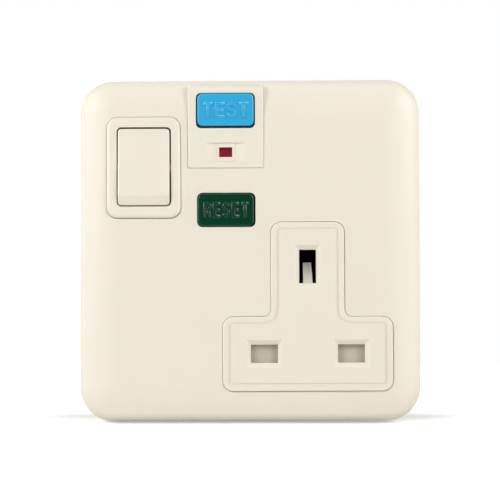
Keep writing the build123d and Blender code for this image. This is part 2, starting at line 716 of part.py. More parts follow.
def switch_bridge():
    """Bracket with the edge that the contact rocks on."""
    floor = (LIVE_BAR_Z, LIVE_BAR_Z + STRIP)
    bridge = block(about(BEZEL_X, SEESAW_WIDTH), about(ROCKER_Y, BRIDGE_LENGTH), floor)
    edge = SEESAW_PIVOT_Z - SEESAW_BEAD - TOUCH
    bridge += block(about(BEZEL_X, SEESAW_WIDTH), about(ROCKER_Y, BRIDGE_EDGE), (LIVE_BAR_Z, edge))
    return bridge


def switch_contact_level():
    """Level of the fixed switch contact's rivet, a touch under the closed seesaw."""
    angle = radians(SEESAW_ANGLE)
    reach = (SEESAW_BUTTON + RIVET_RADIUS) * sin(angle)
    return SEESAW_PIVOT_Z - reach - (SEESAW_THICKNESS / 2 + RIVET_HEIGHT) * cos(angle) - TOUCH


def link_levels():
    """Depth of the strips that run just behind the chassis."""
    return SEAT_DEPTH - LINK_DROP - STRIP, SEAT_DEPTH - LINK_DROP


def switch_contact():
    """Fixed contact that the seesaw meets when the switch is on."""
    top = switch_contact_level()
    place = ROCKER_Y + SEESAW_BUTTON
    strap = (top - RIVET_HEIGHT - STRIP, top - RIVET_HEIGHT)
    foot = (place - 2 * RIVET_RADIUS, SWITCH_CONTACT_END)
    contact = rod_z(BEZEL_X, place, (top - RIVET_HEIGHT, top), RIVET_RADIUS)
    contact += block(about(BEZEL_X, SEESAW_WIDTH), foot, strap)
    leg = (SWITCH_CONTACT_END - STRIP, SWITCH_CONTACT_END)
    contact += block(about(BEZEL_X, SEESAW_WIDTH), leg, (strap[0], link_levels()[0]))
    return contact


def load_edge():
    """Outer end of the load side fixed contacts."""
    return FIXED_Y[1] - RIVET_RADIUS + FIXED_LENGTH


def live_link():
    """Strip from the residual current contacts to the switch."""
    start = load_edge()
    turn_y, turn_x = LINK_TURN
    end = SWITCH_CONTACT_END - BAR_WIDTH / 2
    points = [(POLES[0], start), (POLES[0], turn_y), (turn_x, turn_y), (turn_x, end),
              (BEZEL_X - SEESAW_WIDTH / 2, end)]
    return strip(points, BAR_WIDTH, link_levels())


def live_bar():
    """Bus bar from the switch to the live plug contact."""
    x, y = pin_places()[0]
    end_y = y + CONTACT_GAP / 2 + LEAF + BAR_WIDTH / 2
    points = [(BEZEL_X, ROCKER_Y - BRIDGE_LENGTH / 2), (BEZEL_X, LIVE_BAR_TURN), (LIVE_BAR_X, LIVE_BAR_TURN),
              (LIVE_BAR_X, end_y), (x + PIN_SIZE[0] / 2, end_y)]
    return strip(points, BAR_WIDTH, (LIVE_BAR_Z, LIVE_BAR_Z + STRIP))


def neutral_bar():
    """Bus bar from the residual current contacts to the neutral plug contact."""
    x, y = pin_places()[1]
    leaf = y + CONTACT_GAP / 2 + LEAF
    tab = y + PIN_SIZE[1] / 2 + CONTACT_MOUTH + LEAF + FIT
    end_y = tab + BAR_WIDTH / 2
    start_y = load_edge() + BAR_WIDTH / 2
    start = (POLES[1] - BAR_WIDTH / 2, start_y)
    points = [start, (NEUTRAL_BAR_X, start_y), (NEUTRAL_BAR_X, end_y), (x + PIN_SIZE[0] / 2, end_y)]
    bar = strip(points, BAR_WIDTH, link_levels())
    bar += block(about(x, PIN_SIZE[0]), (tab, tab + STRIP), (NEUTRAL_FOOT, link_levels()[1]))
    return bar + block(about(x, PIN_SIZE[0]), (leaf, tab + STRIP), (NEUTRAL_FOOT, NEUTRAL_FOOT + STRIP))


def rcd_panel():
    """Front moulding of the residual current unit, with a curved brow at its top."""
    low, high = PANEL_Y
    side = [(low, CHASSIS_THICKNESS), (chassis_half(), CHASSIS_THICKNESS), (chassis_half(), BROW_LEVEL),
            (high, BROW_LEVEL), (high, PANEL_TOP), (PANEL_CREASE, PANEL_TOP), (low, PANEL_LOW_EDGE)]
    panel = side_prism(side, PANEL_X)
    top = [e for e in panel.edges() if abs(e.center().Z - PANEL_TOP) < TOUCH]
    brow = [e for e in top if abs(e.center().Y - high) < TOUCH]
    panel = fillet(brow, PANEL_BROW)
    panel &= prism(panel_outline(0), (CHASSIS_THICKNESS, PANEL_TOP))
    front = [e for e in panel.edges() if e.center().Z > PANEL_LOW_EDGE - TOUCH]
    rim = [e for e in front if e.center().Y < low + PANEL_LOW_CORNER]
    for side_x in PANEL_X:
        rim += [e for e in front if e not in rim and abs(e.center().X - side_x) < TOUCH]
    panel = fillet(rim, PANEL_EDGE)
    middle = (PANEL_X[0] + PANEL_X[1]) / 2
    hollow_x = about(middle, PANEL_X[1] - PANEL_X[0] - 2 * PANEL_SKIRT)
    hollow_y = (low + PANEL_SKIRT, chassis_half() - PANEL_TOP_SKIRT)
    hollow_z = (CHASSIS_THICKNESS, PANEL_TOP - PANEL_WALL)
    panel -= block(hollow_x, hollow_y, hollow_z)
    shelf = about(middle, PANEL_X[1] - PANEL_X[0] + 2 * LEDGE)
    outside = block(shelf, (low + PANEL_SKIRT, PANEL_CREASE), (LEDGE_LEVEL, LEDGE_LEVEL + LEDGE_DEPTH))
    panel += outside - block(hollow_x, (low, high), hollow_z)
    panel -= block(about(BUTTON_X, FLAG_WIDTH + 2 * FIT), (low, low + PANEL_SKIRT), hollow_z)
    panel += guide(TEST_Y, TEST_OPENING, TEST_PLAY, TEST_CORNER, (test_under(), PANEL_TOP - PANEL_WALL))
    panel -= prism(opening(TEST_Y, TEST_OPENING, TEST_PLAY, TEST_CORNER), (CHASSIS_THICKNESS, PANEL_TOP))
    dish_width, dish_height = DISH_SIZE
    radius = (dish_width ** 2 / 4 + DISH_DEPTH ** 2) / (2 * DISH_DEPTH)
    dish = rod_y(BUTTON_X, about(WINDOW_Y, dish_height), PANEL_TOP + radius - DISH_DEPTH, radius)
    dish_z = (PANEL_LOW_EDGE - DISH_DEPTH, PANEL_TOP)
    dish &= block(about(BUTTON_X, dish_width), about(WINDOW_Y, dish_height), dish_z)
    panel -= dish
    frame = (PANEL_TOP - PANEL_WALL, PANEL_LOW_EDGE - FRAME_SINK)
    panel += block(about(BUTTON_X, FRAME_SIZE[0]), about(WINDOW_Y, FRAME_SIZE[1]), frame)
    panel -= block(about(BUTTON_X, WINDOW_SIZE[0]), about(WINDOW_Y, WINDOW_SIZE[1]), hollow_z)
    panel -= block(about(BUTTON_X, WINDOW_SIZE[0]), about(WINDOW_Y, WINDOW_SIZE[1]), frame)
    return panel


def indicator_lens():
    """Clear window of the contact indicator."""
    top = PANEL_LOW_EDGE - FRAME_SINK - LENS_SINK
    return block(about(BUTTON_X, WINDOW_SIZE[0]), about(WINDOW_Y, WINDOW_SIZE[1]), (top - LENS_DEPTH, top))


def opening(place_y, size, play, corner):
    """The opening that a button stands in, off the button's middle by its play."""
    return plan((BUTTON_X - play[0], place_y - play[1]), size, corner)


def guide(place_y, size, play, corner, z):
    """A wall behind a button's opening that keeps the button square."""
    wide = [length + 2 * GUIDE_WALL for length in size]
    return prism(opening(place_y, wide, play, corner + GUIDE_WALL), z)


def test_under():
    """Level of the back of the test button's guide."""
    return PANEL_TOP - PANEL_WALL - TEST_GUIDE


def reset_under():
    """Level of the back of the reset button's guide."""
    return COVER_TOP - COVER_WALL - RESET_GUIDE


def button(place_y, size, corner, top, under, hole, play):
    """A push button cap with a flange that is wider than the opening it stands in."""
    flange = (under - SLIDE - BUTTON_FLANGE, under - SLIDE)
    cap = prism(plan((BUTTON_X, place_y), size, corner), (flange[0], top))
    rim = cap.faces().sort_by(Axis.Z)[-1].edges()
    cap = fillet(rim, BUTTON_EDGE)
    wide = [length + 2 * BUTTON_LIP for length in hole]
    return cap + prism(opening(place_y, wide, play, corner), flange)


def test_button():
    """The blue test button and its stem."""
    under = test_under()
    cap = button(TEST_Y, TEST_BUTTON, TEST_CORNER, TEST_TOP, under, TEST_OPENING, TEST_PLAY)
    end = CHASSIS_THICKNESS - TEST_LEAF_DEPTH + TEST_LEAF[1] + TOUCH + BUTTON_TRAVEL
    return cap + rod_z(BUTTON_X, TEST_Y, (end, under - SLIDE), TEST_STEM)


def reset_button():
    """The green reset button, with the headed stem that lifts the latch."""
    under = reset_under()
    cap = button(RESET_Y, RESET_BUTTON, RESET_CORNER, RESET_TOP, under, RESET_OPENING, RESET_PLAY)
    cap += rod_z(BUTTON_X, RESET_Y, (NECK_TOP, under - SLIDE), RESET_STEM)
    head = LATCH_Z - TOUCH
    cap += rod_z(BUTTON_X, RESET_Y, (head - CATCH_CONE, NECK_TOP), NECK_RADIUS)
    cone = Cone(RESET_STEM, NECK_RADIUS, CATCH_CONE)
    cap += Pos(BUTTON_X, RESET_Y, head - CATCH_CONE / 2) * cone
    catch = (head - CATCH_CONE - CATCH_LENGTH, head - CATCH_CONE)
    return cap + rod_z(BUTTON_X, RESET_Y, catch, RESET_STEM)


def button_spring(place_y, under):
    """Spring between the chassis and a button's flange."""
    length = under - SLIDE - BUTTON_FLANGE - CHASSIS_THICKNESS
    return Pos(BUTTON_X, place_y, CHASSIS_THICKNESS) * coil_spring(length, BUTTON_SPRING)


def test_leaf():
    """Sprung leaf that the test button presses, down to the circuit board."""
    width, gauge = TEST_LEAF
    low, high = TEST_LEAF_Y
    level = CHASSIS_THICKNESS - TEST_LEAF_DEPTH
    leaf = block(about(BUTTON_X, width), (low, high), (level, level + gauge))
    leaf += block(about(BUTTON_X, width), (low, low + gauge), (BOARD_TOP + TOUCH, level + gauge))
    foot = (BOARD_Y[1] - PEG_INSET, low + gauge)
    leaf += block(about(BUTTON_X, width), foot, (BOARD_TOP + TOUCH, BOARD_TOP + TOUCH + gauge))
    return leaf


def trip_flag():
    """Coloured flag on a lever that the carriage lets fall."""
    half = FLAG_SPAN / 2
    ring = Circle(FLAG_RADIUS) - Circle(FLAG_RADIUS - FLAG_THICKNESS)
    reach = FLAG_RADIUS * 2
    wedge = make_face(Polyline((0, 0), (-reach * sin(radians(half)), reach * cos(radians(half))),
                               (reach * sin(radians(half)), reach * cos(radians(half))), close=True))
    left = BUTTON_X - FLAG_WIDTH / 2
    plate = extrude(Plane.YZ.offset(left) * (ring & wedge), FLAG_WIDTH)
    stem = Pos(0, FLAG_RADIUS / 2) * Rectangle(FLAG_WEB, FLAG_RADIUS - FLAG_THICKNESS)
    arm_length = CARRIAGE_DROP / sin(radians(FLAG_SWING))
    arm = Pos(-arm_length / 2, 0) * Rectangle(arm_length, 2 * FLAG_FOOT)
    foot = Pos(-arm_length, 0) * Circle(FLAG_FOOT)
    web = Circle(FLAG_HUB) + stem + arm + foot
    plate += extrude(Plane.YZ.offset(BUTTON_X - FLAG_WEB / 2) * web, FLAG_WEB)
    plate = Pos(0, WINDOW_Y, FLAG_PIVOT_Z) * plate
    return plate - rod_x(about(BUTTON_X, FLAG_WIDTH), WINDOW_Y, FLAG_PIVOT_Z, FLAG_PIN_RADIUS + RUNNING)


def flag_pin():
    """Pin that the flag swings on, held in the chassis ears."""
    length = FLAG_WIDTH + 2 * FIT + 2 * FLAG_EAR[0]
    return rod_x(about(BUTTON_X, length), WINDOW_Y, FLAG_PIVOT_Z, FLAG_PIN_RADIUS)


def contact_carriage():
    """Moulded carriage that lifts the moving contacts and lets them fall."""
    body = block(CARRIAGE_X, CARRIAGE_Y, CARRIAGE_Z)
    body -= rod_z(BUTTON_X, RESET_Y, CARRIAGE_Z, CARRIAGE_BORE)
    for x in POLES:
        body -= block(about(x, POLE_WIDTH), CARRIAGE_Y, (MOVING_Z - STRIP, MOVING_Z))
    latch_x = (BUTTON_X - LATCH_HOOK - LATCH_TAIL - LATCH_TRAVEL - FIT, CARRIAGE_X[1])
    latch_z = (LATCH_Z - RUNNING, LATCH_Z + LATCH_THICKNESS + RUNNING)
    body -= block(latch_x, about(RESET_Y, LATCH_WIDTH + 2 * SLIDE), latch_z)
    finger_width, finger_reach = FINGER_SIZE
    finger_top = FLAG_PIVOT_Z - FLAG_FOOT - SLIDE
    finger = (CARRIAGE_Y[1] - TOUCH, CARRIAGE_Y[1] + finger_reach)
    return body + block(about(BUTTON_X, finger_width), finger, (CARRIAGE_Z[0], finger_top))


def moving_contacts():
    """Bridging contact strips of the two poles."""
    strips = []
    for x in POLES:
        bar = block(about(x, POLE_WIDTH), MOVING_Y, (MOVING_Z - STRIP, MOVING_Z))
        for y in FIXED_Y:
            bar += rod_z(x, y, (MOVING_Z, MOVING_Z + RIVET_HEIGHT), RIVET_RADIUS)
        strips.append(bar)
    return strips


def fixed_contacts(place, side):
    """Fixed contacts of both poles, on brackets that hang from the chassis."""
    level = MOVING_Z + RIVET_HEIGHT + TOUCH
    shelf = (level + RIVET_HEIGHT, level + RIVET_HEIGHT + STRIP)
    inner = place - side * RIVET_RADIUS
    outer = inner + side * FIXED_LENGTH
    brackets = []
    for x in POLES:
        bracket = rod_z(x, place, (level, shelf[0]), RIVET_RADIUS)
        bracket += block(about(x, POLE_WIDTH), sorted((inner, outer)), shelf)
        leg = sorted((outer, outer - side * STRIP))
        bracket += block(about(x, POLE_WIDTH), leg, (shelf[0], SEAT_DEPTH))
        brackets.append(bracket)
    return brackets


def trip_springs():
    """Springs that throw the carriage open."""
    length = SEAT_DEPTH - CARRIAGE_Z[1]
    places = (BUTTON_X - TRIP_SPRING_PLACE, BUTTON_X + TRIP_SPRING_PLACE)
    return [Pos(x, RESET_Y, CARRIAGE_Z[1]) * coil_spring(length, TRIP_SPRING) for x in places]


def latch_end():
    """Where the latch's tab ends, a touch from the solenoid's core."""
    return SOLENOID_X[0] - FIT - STRIP


def latch_plate():
    """Sliding latch that hooks over the reset stem's head."""
    level = (LATCH_Z, LATCH_Z + LATCH_THICKNESS)
    left = BUTTON_X - LATCH_HOOK - LATCH_TAIL
    plate = block((left, latch_end()), about(RESET_Y, LATCH_WIDTH), level)
    window = (BUTTON_X - LATCH_HOOK, BUTTON_X + RESET_STEM + LATCH_TRAVEL + SLIDE)
    plate -= block(window, about(RESET_Y, 2 * LATCH_WINDOW), level)
    width, height = LATCH_TAB
    tab = (latch_end() - LATCH_THICKNESS, latch_end())
    return plate + block(tab, about(RESET_Y, width), (LATCH_Z, LATCH_Z + height))


def solenoid_level():
    """Height of the solenoid's axis, in line with the latch."""
    return LATCH_Z + LATCH_THICKNESS / 2


def solenoid_frame():
    """Folded steel yoke of the solenoid."""
    low, high = SOLENOID_X
    width = about(RESET_Y, SOLENOID_WIDTH)
    base = BOARD_TOP + TOUCH
    frame = block(SOLENOID_X, width, (base, base + SOLENOID_PLATE))
    for end in ((low, low + SOLENOID_PLATE), (high - SOLENOID_PLATE, high)):
        frame += block(end, width, (base, SOLENOID_TOP))
    return frame - rod_x((low, low + SOLENOID_PLATE), RESET_Y, solenoid_level(), CORE_RADIUS + RUNNING)


def bobbin_ends():
    """Where the bobbin starts and ends inside the yoke."""
    return SOLENOID_X[0] + SOLENOID_PLATE, SOLENOID_X[1] - SOLENOID_PLATE


def solenoid_bobbin():
    """Moulded bobbin that the core slides in."""
    low, high = bobbin_ends()
    level = solenoid_level()
    spool = rod_x((low, high), RESET_Y, level, CORE_RADIUS + RUNNING + BOBBIN_TUBE)
    spool += rod_x((low, low + STRIP), RESET_Y, level, BOBBIN_FLANGE)
    spool += rod_x((high - STRIP, high), RESET_Y, level, BOBBIN_FLANGE)
    return spool - rod_x((low, high), RESET_Y, level, CORE_RADIUS + RUNNING)


def solenoid_coil():
    """Copper winding on the bobbin."""
    low, high = bobbin_ends()
    span = (low + STRIP, high - STRIP)
    level = solenoid_level()
    coil = rod_x(span, RESET_Y, level, COIL_RADIUS)
    return coil - rod_x(span, RESET_Y, level, CORE_RADIUS + RUNNING + BOBBIN_TUBE)


def solenoid_core():
    """Steel core that strikes the latch."""
    start = latch_end() + TOUCH
    return rod_x((start, start + CORE_LENGTH), RESET_Y, solenoid_level(), CORE_RADIUS)


def board_pegs():
    """Places of the four pegs that carry the circuit board."""
    (left, right), (low, high) = BOARD_X, BOARD_Y
    inset = PEG_INSET
    return [(x, y) for x in (left + inset, right - inset) for y in (low + inset, high - inset)]


def circuit_board():
    """Printed circuit board of the trip circuit."""
    board = block(BOARD_X, BOARD_Y, (BOARD_TOP - BOARD_THICKNESS, BOARD_TOP))
    for x, y in board_pegs():
        board -= rod_z(x, y, (BOARD_TOP - BOARD_THICKNESS, BOARD_TOP), PEG_PIN + RUNNING)
    return board


def board_back():
    """Level that the parts behind the board are soldered to."""
    return BOARD_TOP - BOARD_THICKNESS - TOUCH


def control_chip():
    """Amplifier chip of the trip circuit."""
    width, height, depth = CHIP
    x, y = CHIP_PLACE
    return block(about(x, width), about(y, height), (board_back() - depth, board_back()))


def capacitor():
    """Smoothing capacitor, lying on its side."""
    radius, length = CAPACITOR
    x, y = CAPACITOR_PLACE
    return rod_x(about(x, length), y, board_back() - radius, radius)


def varistor():
    """Surge absorber, a disc on edge."""
    radius, length = VARISTOR
    x, y = VARISTOR_PLACE
    return rod_y(x, about(y, length), board_back() - radius, radius)


def resistors():
    """Resistors of the trip and test circuits."""
    radius, length = RESISTOR
    return [rod_x(about(x, length), y, board_back() - radius, radius) for x, y in RESISTOR_PLACES]


def rectifier_diodes():
    """Four diodes that feed the trip circuit."""
    radius, length = DIODE
    return [rod_x(about(x, length), y, board_back() - radius, radius) for x, y in DIODE_PLACES]


def thyristor():
    """Thyristor that fires the solenoid."""
    radius, length = THYRISTOR
    x, y = THYRISTOR_PLACE
    case = rod_z(x, y, (board_back() - length, board_back()), radius)
    flat = (x + radius / 2, x + radius)
    return case - block(flat, about(y, 2 * radius), (board_back() - length, board_back()))


def toroid_ring(outer, inner, z):
    """A ring round the supply leads."""
    ring = Circle(outer) - Circle(inner)
    return prism(Pos(TOROID_X, TOROID_Y) * ring, z)


def toroid_case():
    """Moulded ring case of the current transformer."""
    case = toroid_ring(TOROID_OUTER, TOROID_INNER, TOROID_Z)
    low, high = TOROID_Z
    wall = TOROID_CASE
    return case - toroid_ring(TOROID_OUTER - wall, TOROID_INNER + wall, (low + wall, high - wall))


def toroid_winding():
    """Sense winding wrapped round the core."""
    low, high = TOROID_Z
    wall = TOROID_CASE + TOUCH
    turn = toroid_ring(TOROID_OUTER - wall, TOROID_INNER + wall, (low + wall, high - wall))
    wall += TOROID_WINDING
    return turn - toroid_ring(TOROID_OUTER - wall, TOROID_INNER + wall, (low + wall, high - wall))


def toroid_core():
    """Magnetic core of the current transformer."""
    low, high = TOROID_Z
    wall = TOROID_CASE + TOROID_WINDING + 2 * TOUCH
    return toroid_ring(TOROID_OUTER - wall, TOROID_INNER + wall, (low + wall, high - wall))


def supply_lead(start_x, side, end_x):
    """Insulated wire from a terminal, through the ring, to a fixed contact."""
    x = TOROID_X + side * LEAD_SPREAD
    end = FIXED_Y[0] + RIVET_RADIUS - FIXED_LENGTH
    points = [(start_x, TERMINAL_Y, LEAD_LOW)]
    if abs(start_x - x) > LEAD_RADIUS:
        points.append((start_x, TERMINAL_Y + LEAD_RUN, LEAD_LOW))
    points += [(x, TOROID_Y, LEAD_LOW), (x, TOROID_Y, LEAD_HIGH), (end_x, end - LEAD_RUN, LEAD_HIGH),
               (end_x, end, LEAD_HIGH)]
    path = FilletPolyline(*points, radius=LEAD_BEND)
    return sweep(Plane(path @ 0, z_dir=path % 0) * Circle(LEAD_RADIUS), path=path)


def terminal(x):
    """Brass terminal block with a cable bore and a tapped clamp hole."""
    width, length, height = TERMINAL_SIZE
    body = block(about(x, width), (TERMINAL_Y - length, TERMINAL_Y), about(TERMINAL_Z, height))
    mouth = TERMINAL_Y - length
    body -= rod_y(x, (mouth, mouth + CABLE_DEPTH), TERMINAL_Z, CABLE_BORE)
    return body - rod_z(x, clamp_y(), (TERMINAL_Z - height / 2, TERMINAL_Z), CLAMP_SCREW)


def clamp_y():
    """Place of the clamp screws along the cable bores."""
    return TERMINAL_Y - TERMINAL_SIZE[1] + CABLE_DEPTH / 2


def terminal_screws():
    """Clamp screws, backed out clear of the bores."""
    under = TERMINAL_Z - TERMINAL_SIZE[2] / 2
    screws = []
    for x in TERMINAL_X:
        screw = rod_z(x, clamp_y(), (under, TERMINAL_Z - CABLE_BORE - TOUCH), CLAMP_SCREW)
        head = (under - CLAMP_HEAD_DEPTH, under)
        screw += rod_z(x, clamp_y(), head, CLAMP_HEAD)
        slot = (head[0], head[0] + SLOT_DEPTH)
        screw -= block(about(x, 2 * CLAMP_HEAD), about(clamp_y(), SLOT_WIDTH), slot)
        screws.append(screw)
    return screws


def fork(thickness, width, length):
    """A sprung two leaf contact: its leaves stand either side of the pin."""
    inner = CONTACT_GAP / 2
    outer = inner + LEAF
    pinch = inner - CONTACT_PINCH
    base = -length
    mouth = thickness / 2 + CONTACT_MOUTH
    half_leaf = [(inner, base + LEAF), (inner, -length / 2), (pinch, -length / 4), (mouth, 0),
                 (mouth + LEAF, 0), (pinch + LEAF, -length / 4), (outer, -length / 2), (outer, base)]
    other = [(-y, z) for y, z in reversed(half_leaf)]
    return side_prism(half_leaf + other, about(0, width))


def plug_contact(index):
    """Live or neutral plug contact."""
    x, y = pin_places()[index]
    return Pos(x, y, CONTACT_TOP) * fork(PIN_SIZE[1], PIN_SIZE[0], CONTACT_LENGTH)


def earth_contact():
    """Earth plug contact, deeper than the other two."""
    shape = fork(EARTH_PIN[0], EARTH_PIN[1], EARTH_LENGTH)
    return Pos(SOCKET_X, EARTH_Y, CONTACT_TOP) * Rot(0, 0, 90) * shape


def earth_strap():
    """Strip from the earth contact down to its terminal."""
    top = CONTACT_TOP - EARTH_LENGTH
    start = EARTH_Y + EARTH_PIN[1] / 2
    end = TERMINAL_Y
    outline = [(start, top), (end, top), (end, TERMINAL_Z), (end + STRIP, TERMINAL_Z),
               (end + STRIP, top - STRIP), (start, top - STRIP)]
    return side_prism(outline, about(SOCKET_X, EARTH_STRAP))


def rear_housing():
    """Moulded box behind the plate, with posts for what stands in it."""
    back = -HOUSING_DEPTH
    floor = back + HOUSING_WALL
    front = SEAT_DEPTH
    box = prism(housing_outline(0), (back, front)) - prism(housing_outline(-HOUSING_WALL), (floor, front))
    inside = prism(housing_outline(0), (back, front))
    columns = [rod_z(x, y, (back, front), COLUMN_RADIUS) & inside for x, y in COLUMNS]
    for column in columns:
        box += column
    for x, y in pin_places():
        box += block(about(x, CONTACT_POST), about(y, CONTACT_GAP), (back, CONTACT_TOP - CONTACT_LENGTH))
    strap_under = CONTACT_TOP - EARTH_LENGTH - STRIP
    box += block(about(SOCKET_X, EARTH_STRAP), about(EARTH_Y, EARTH_PIN[1]), (back, strap_under))
    box += block(about(BEZEL_X, SEESAW_WIDTH), about(ROCKER_Y, BRIDGE_LENGTH), (back, LIVE_BAR_Z))
    contact_under = switch_contact_level() - RIVET_HEIGHT - STRIP
    post_y = (ROCKER_Y + SEESAW_BUTTON, HOUSING_HALF - HOUSING_WALL)
    box += block(about(BEZEL_X, SEESAW_WIDTH), post_y, (back, contact_under))
    for x, y in board_pegs():
        box += rod_z(x, y, (back, BOARD_TOP - BOARD_THICKNESS), PEG_RADIUS)
        box += rod_z(x, y, (back, BOARD_TOP + PEG_RISE), PEG_PIN)
    ring = (TOROID_OUTER + TOROID_INNER) / 2
    for angle in TOROID_POSTS:
        x = TOROID_X + ring * cos(radians(angle))
        y = TOROID_Y + ring * sin(radians(angle))
        box += rod_z(x, y, (back, TOROID_Z[0]), TOROID_POST)
    for x in TERMINAL_X:
        wall = (-HOUSING_HALF, HOUSING_WALL - HOUSING_HALF)
        box -= rod_y(x, wall, TERMINAL_Z, CABLE_ENTRY)
        box -= rod_z(x, clamp_y(), (back, floor), CLAMP_HEAD + SLIDE)
    for x, y in COLUMNS:
        box -= rod_z(x, y, (back, front), HOUSING_SCREW_RADIUS + SLIDE)
        box -= rod_z(x, y, (back, back + HOUSING_HEAD_DEPTH), HOUSING_HEAD_RADIUS + SLIDE)
    return box


def slotted(screw, x, y, radius, level, depth):
    """A screw with a driver slot across its head."""
    low, high = sorted((level, level + depth))
    return screw - block(about(x, 2 * radius), about(y, SLOT_WIDTH), (low, high))


def fixing_screws():
    """The two screws that hold the plate to the wall box."""
    top = CHASSIS_THICKNESS
    screws = []
    for x in (-BOX_SCREW_PLACE, BOX_SCREW_PLACE):
        screw = rod_z(x, 0, (-BOX_SCREW_LENGTH, 0), BOX_SCREW_RADIUS)
        screw += rod_z(x, 0, (0, top - BOX_HEAD_DEPTH), BOX_SCREW_NECK)
        screw += rod_z(x, 0, (top - BOX_HEAD_DEPTH, top), BOX_HEAD_RADIUS)
        screws.append(slotted(screw, x, 0, BOX_HEAD_RADIUS, top, -SLOT_DEPTH))
    return screws


def housing_screws():
    """Screws that hold the rear housing to the chassis."""
    back = -HOUSING_DEPTH
    screws = []
    for x, y in COLUMNS:
        screw = rod_z(x, y, (back, SEAT_DEPTH + SCREW_BITE), HOUSING_SCREW_RADIUS)
        screw += rod_z(x, y, (back, back + HOUSING_HEAD_DEPTH), HOUSING_HEAD_RADIUS)
        screws.append(slotted(screw, x, y, HOUSING_HEAD_RADIUS, back, SLOT_DEPTH))
    return screws


parts = {
    "front_cover": front_cover(),
    "chassis": chassis(),
    "rear_housing": rear_housing(),
    "fixing_screws": fixing_screws(),
    "housing_screws": housing_screws(),
    "socket_face": socket_face(),
    "shutter": shutter(),
    "shutter_spring": shutter_spring(),
    "switch_bezel": switch_bezel(),
    "rocker": rocker(),
    "rocker_plunger": rocker_plunger(),
    "rocker_spring": rocker_spring(),
    "seesaw_contact": seesaw_contact(),
    "switch_bridge": switch_bridge(),
    "switch_contact": switch_contact(),
    "rcd_panel": rcd_panel(),
    "indicator_lens": indicator_lens(),
    "trip_flag": trip_flag(),
    "flag_pin": flag_pin(),
    "test_button": test_button(),
    "test_button_spring": button_spring(TEST_Y, test_under()),
    "test_leaf": test_leaf(),
    "reset_button": reset_button(),
    "reset_button_spring": button_spring(RESET_Y, reset_under()),
    "contact_carriage": contact_carriage(),
    "moving_contacts": moving_contacts(),
    "line_contacts": fixed_contacts(FIXED_Y[0], -1),
    "load_contacts": fixed_contacts(FIXED_Y[1], 1),
    "trip_springs": trip_springs(),
    "latch_plate": latch_plate(),
    "solenoid_frame": solenoid_frame(),
    "solenoid_bobbin": solenoid_bobbin(),
    "solenoid_coil": solenoid_coil(),
    "solenoid_core": solenoid_core(),
    "circuit_board": circuit_board(),
    "control_chip": control_chip(),
    "capacitor": capacitor(),
    "varistor": varistor(),
    "resistors": resistors(),
    "rectifier_diodes": rectifier_diodes(),
    "thyristor": thyristor(),
    "toroid_case": toroid_case(),
    "toroid_winding": toroid_winding(),
    "toroid_core": toroid_core(),
    "live_lead": supply_lead(TERMINAL_X[0] + LEAD_START, -1, POLES[0]),
    "neutral_lead": supply_lead(TOROID_X + LEAD_SPREAD, 1, POLES[1]),
    "live_link": live_link(),
    "live_bar": live_bar(),
    "neutral_bar": neutral_bar(),
    "live_contact": plug_contact(0),
    "neutral_contact": plug_contact(1),
    "earth_contact": earth_contact(),
    "earth_strap": earth_strap(),
    "live_terminal": terminal(TERMINAL_X[0]),
    "neutral_terminal": terminal(TERMINAL_X[1]),
    "earth_terminal": terminal(TERMINAL_X[2]),
    "terminal_screws": terminal_screws(),
}

os.makedirs("parts", exist_ok=True)
for name, shape in parts.items():
    pieces = shape if isinstance(shape, list) else [shape]
    upright = [Rot(90, 0, 0) * solid for piece in pieces for solid in piece.solids()]
    export_step(Compound(children=upright) if len(upright) > 1 else upright[0], f"parts/{name}.step")
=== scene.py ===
from math import cos, pi, radians, sin

import bpy
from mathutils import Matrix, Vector


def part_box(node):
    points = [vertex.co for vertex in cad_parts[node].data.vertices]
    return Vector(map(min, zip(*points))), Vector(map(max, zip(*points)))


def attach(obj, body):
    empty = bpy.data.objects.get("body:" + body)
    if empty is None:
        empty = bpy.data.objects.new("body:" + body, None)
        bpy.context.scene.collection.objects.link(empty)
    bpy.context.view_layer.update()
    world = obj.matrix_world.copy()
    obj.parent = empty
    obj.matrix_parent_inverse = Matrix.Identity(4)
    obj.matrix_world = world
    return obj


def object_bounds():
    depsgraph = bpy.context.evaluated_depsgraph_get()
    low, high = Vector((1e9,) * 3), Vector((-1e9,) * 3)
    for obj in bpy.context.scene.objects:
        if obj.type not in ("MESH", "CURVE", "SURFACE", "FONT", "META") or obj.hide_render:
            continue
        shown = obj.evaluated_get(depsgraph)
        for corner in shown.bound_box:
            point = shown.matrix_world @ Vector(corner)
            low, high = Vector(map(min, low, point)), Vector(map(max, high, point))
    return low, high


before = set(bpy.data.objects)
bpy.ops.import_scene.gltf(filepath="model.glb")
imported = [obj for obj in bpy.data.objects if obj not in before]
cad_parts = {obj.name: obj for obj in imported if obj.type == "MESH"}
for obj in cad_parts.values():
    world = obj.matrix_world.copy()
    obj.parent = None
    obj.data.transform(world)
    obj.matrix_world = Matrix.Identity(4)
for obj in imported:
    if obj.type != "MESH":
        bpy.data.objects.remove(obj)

cad_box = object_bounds()

# Supply terminals: solid brass blocks, sawn and drilled, with zinc plated steel clamp screws.
# The brass is drawn bar, so lines run along it, and the plating has a faint blue mottle.
# Real drawing lines are some 0.02 mm apart, too fine to show, so all metals have them coarser.

MM = 0.001
DRIFT_DETAIL = 4.0
FINE_DETAIL = 2.0
LINE_STRETCH = 0.04
LINE_DEPTH = 0.004 * MM
LINES_IN_DRIFT = 12
# A mix node's colour sockets, by number because their names come up more than once
COLOUR_A, COLOUR_B, MIXED = 6, 7, 2


def linear(hex_code):
    """An sRGB colour written as hex, as linear red, green, blue and alpha."""
    levels = [int(hex_code[i:i + 2], 16) / 255 for i in (1, 3, 5)]
    return [v / 12.92 if v <= 0.04045 else ((v + 0.055) / 1.055) ** 2.4 for v in levels] + [1.0]


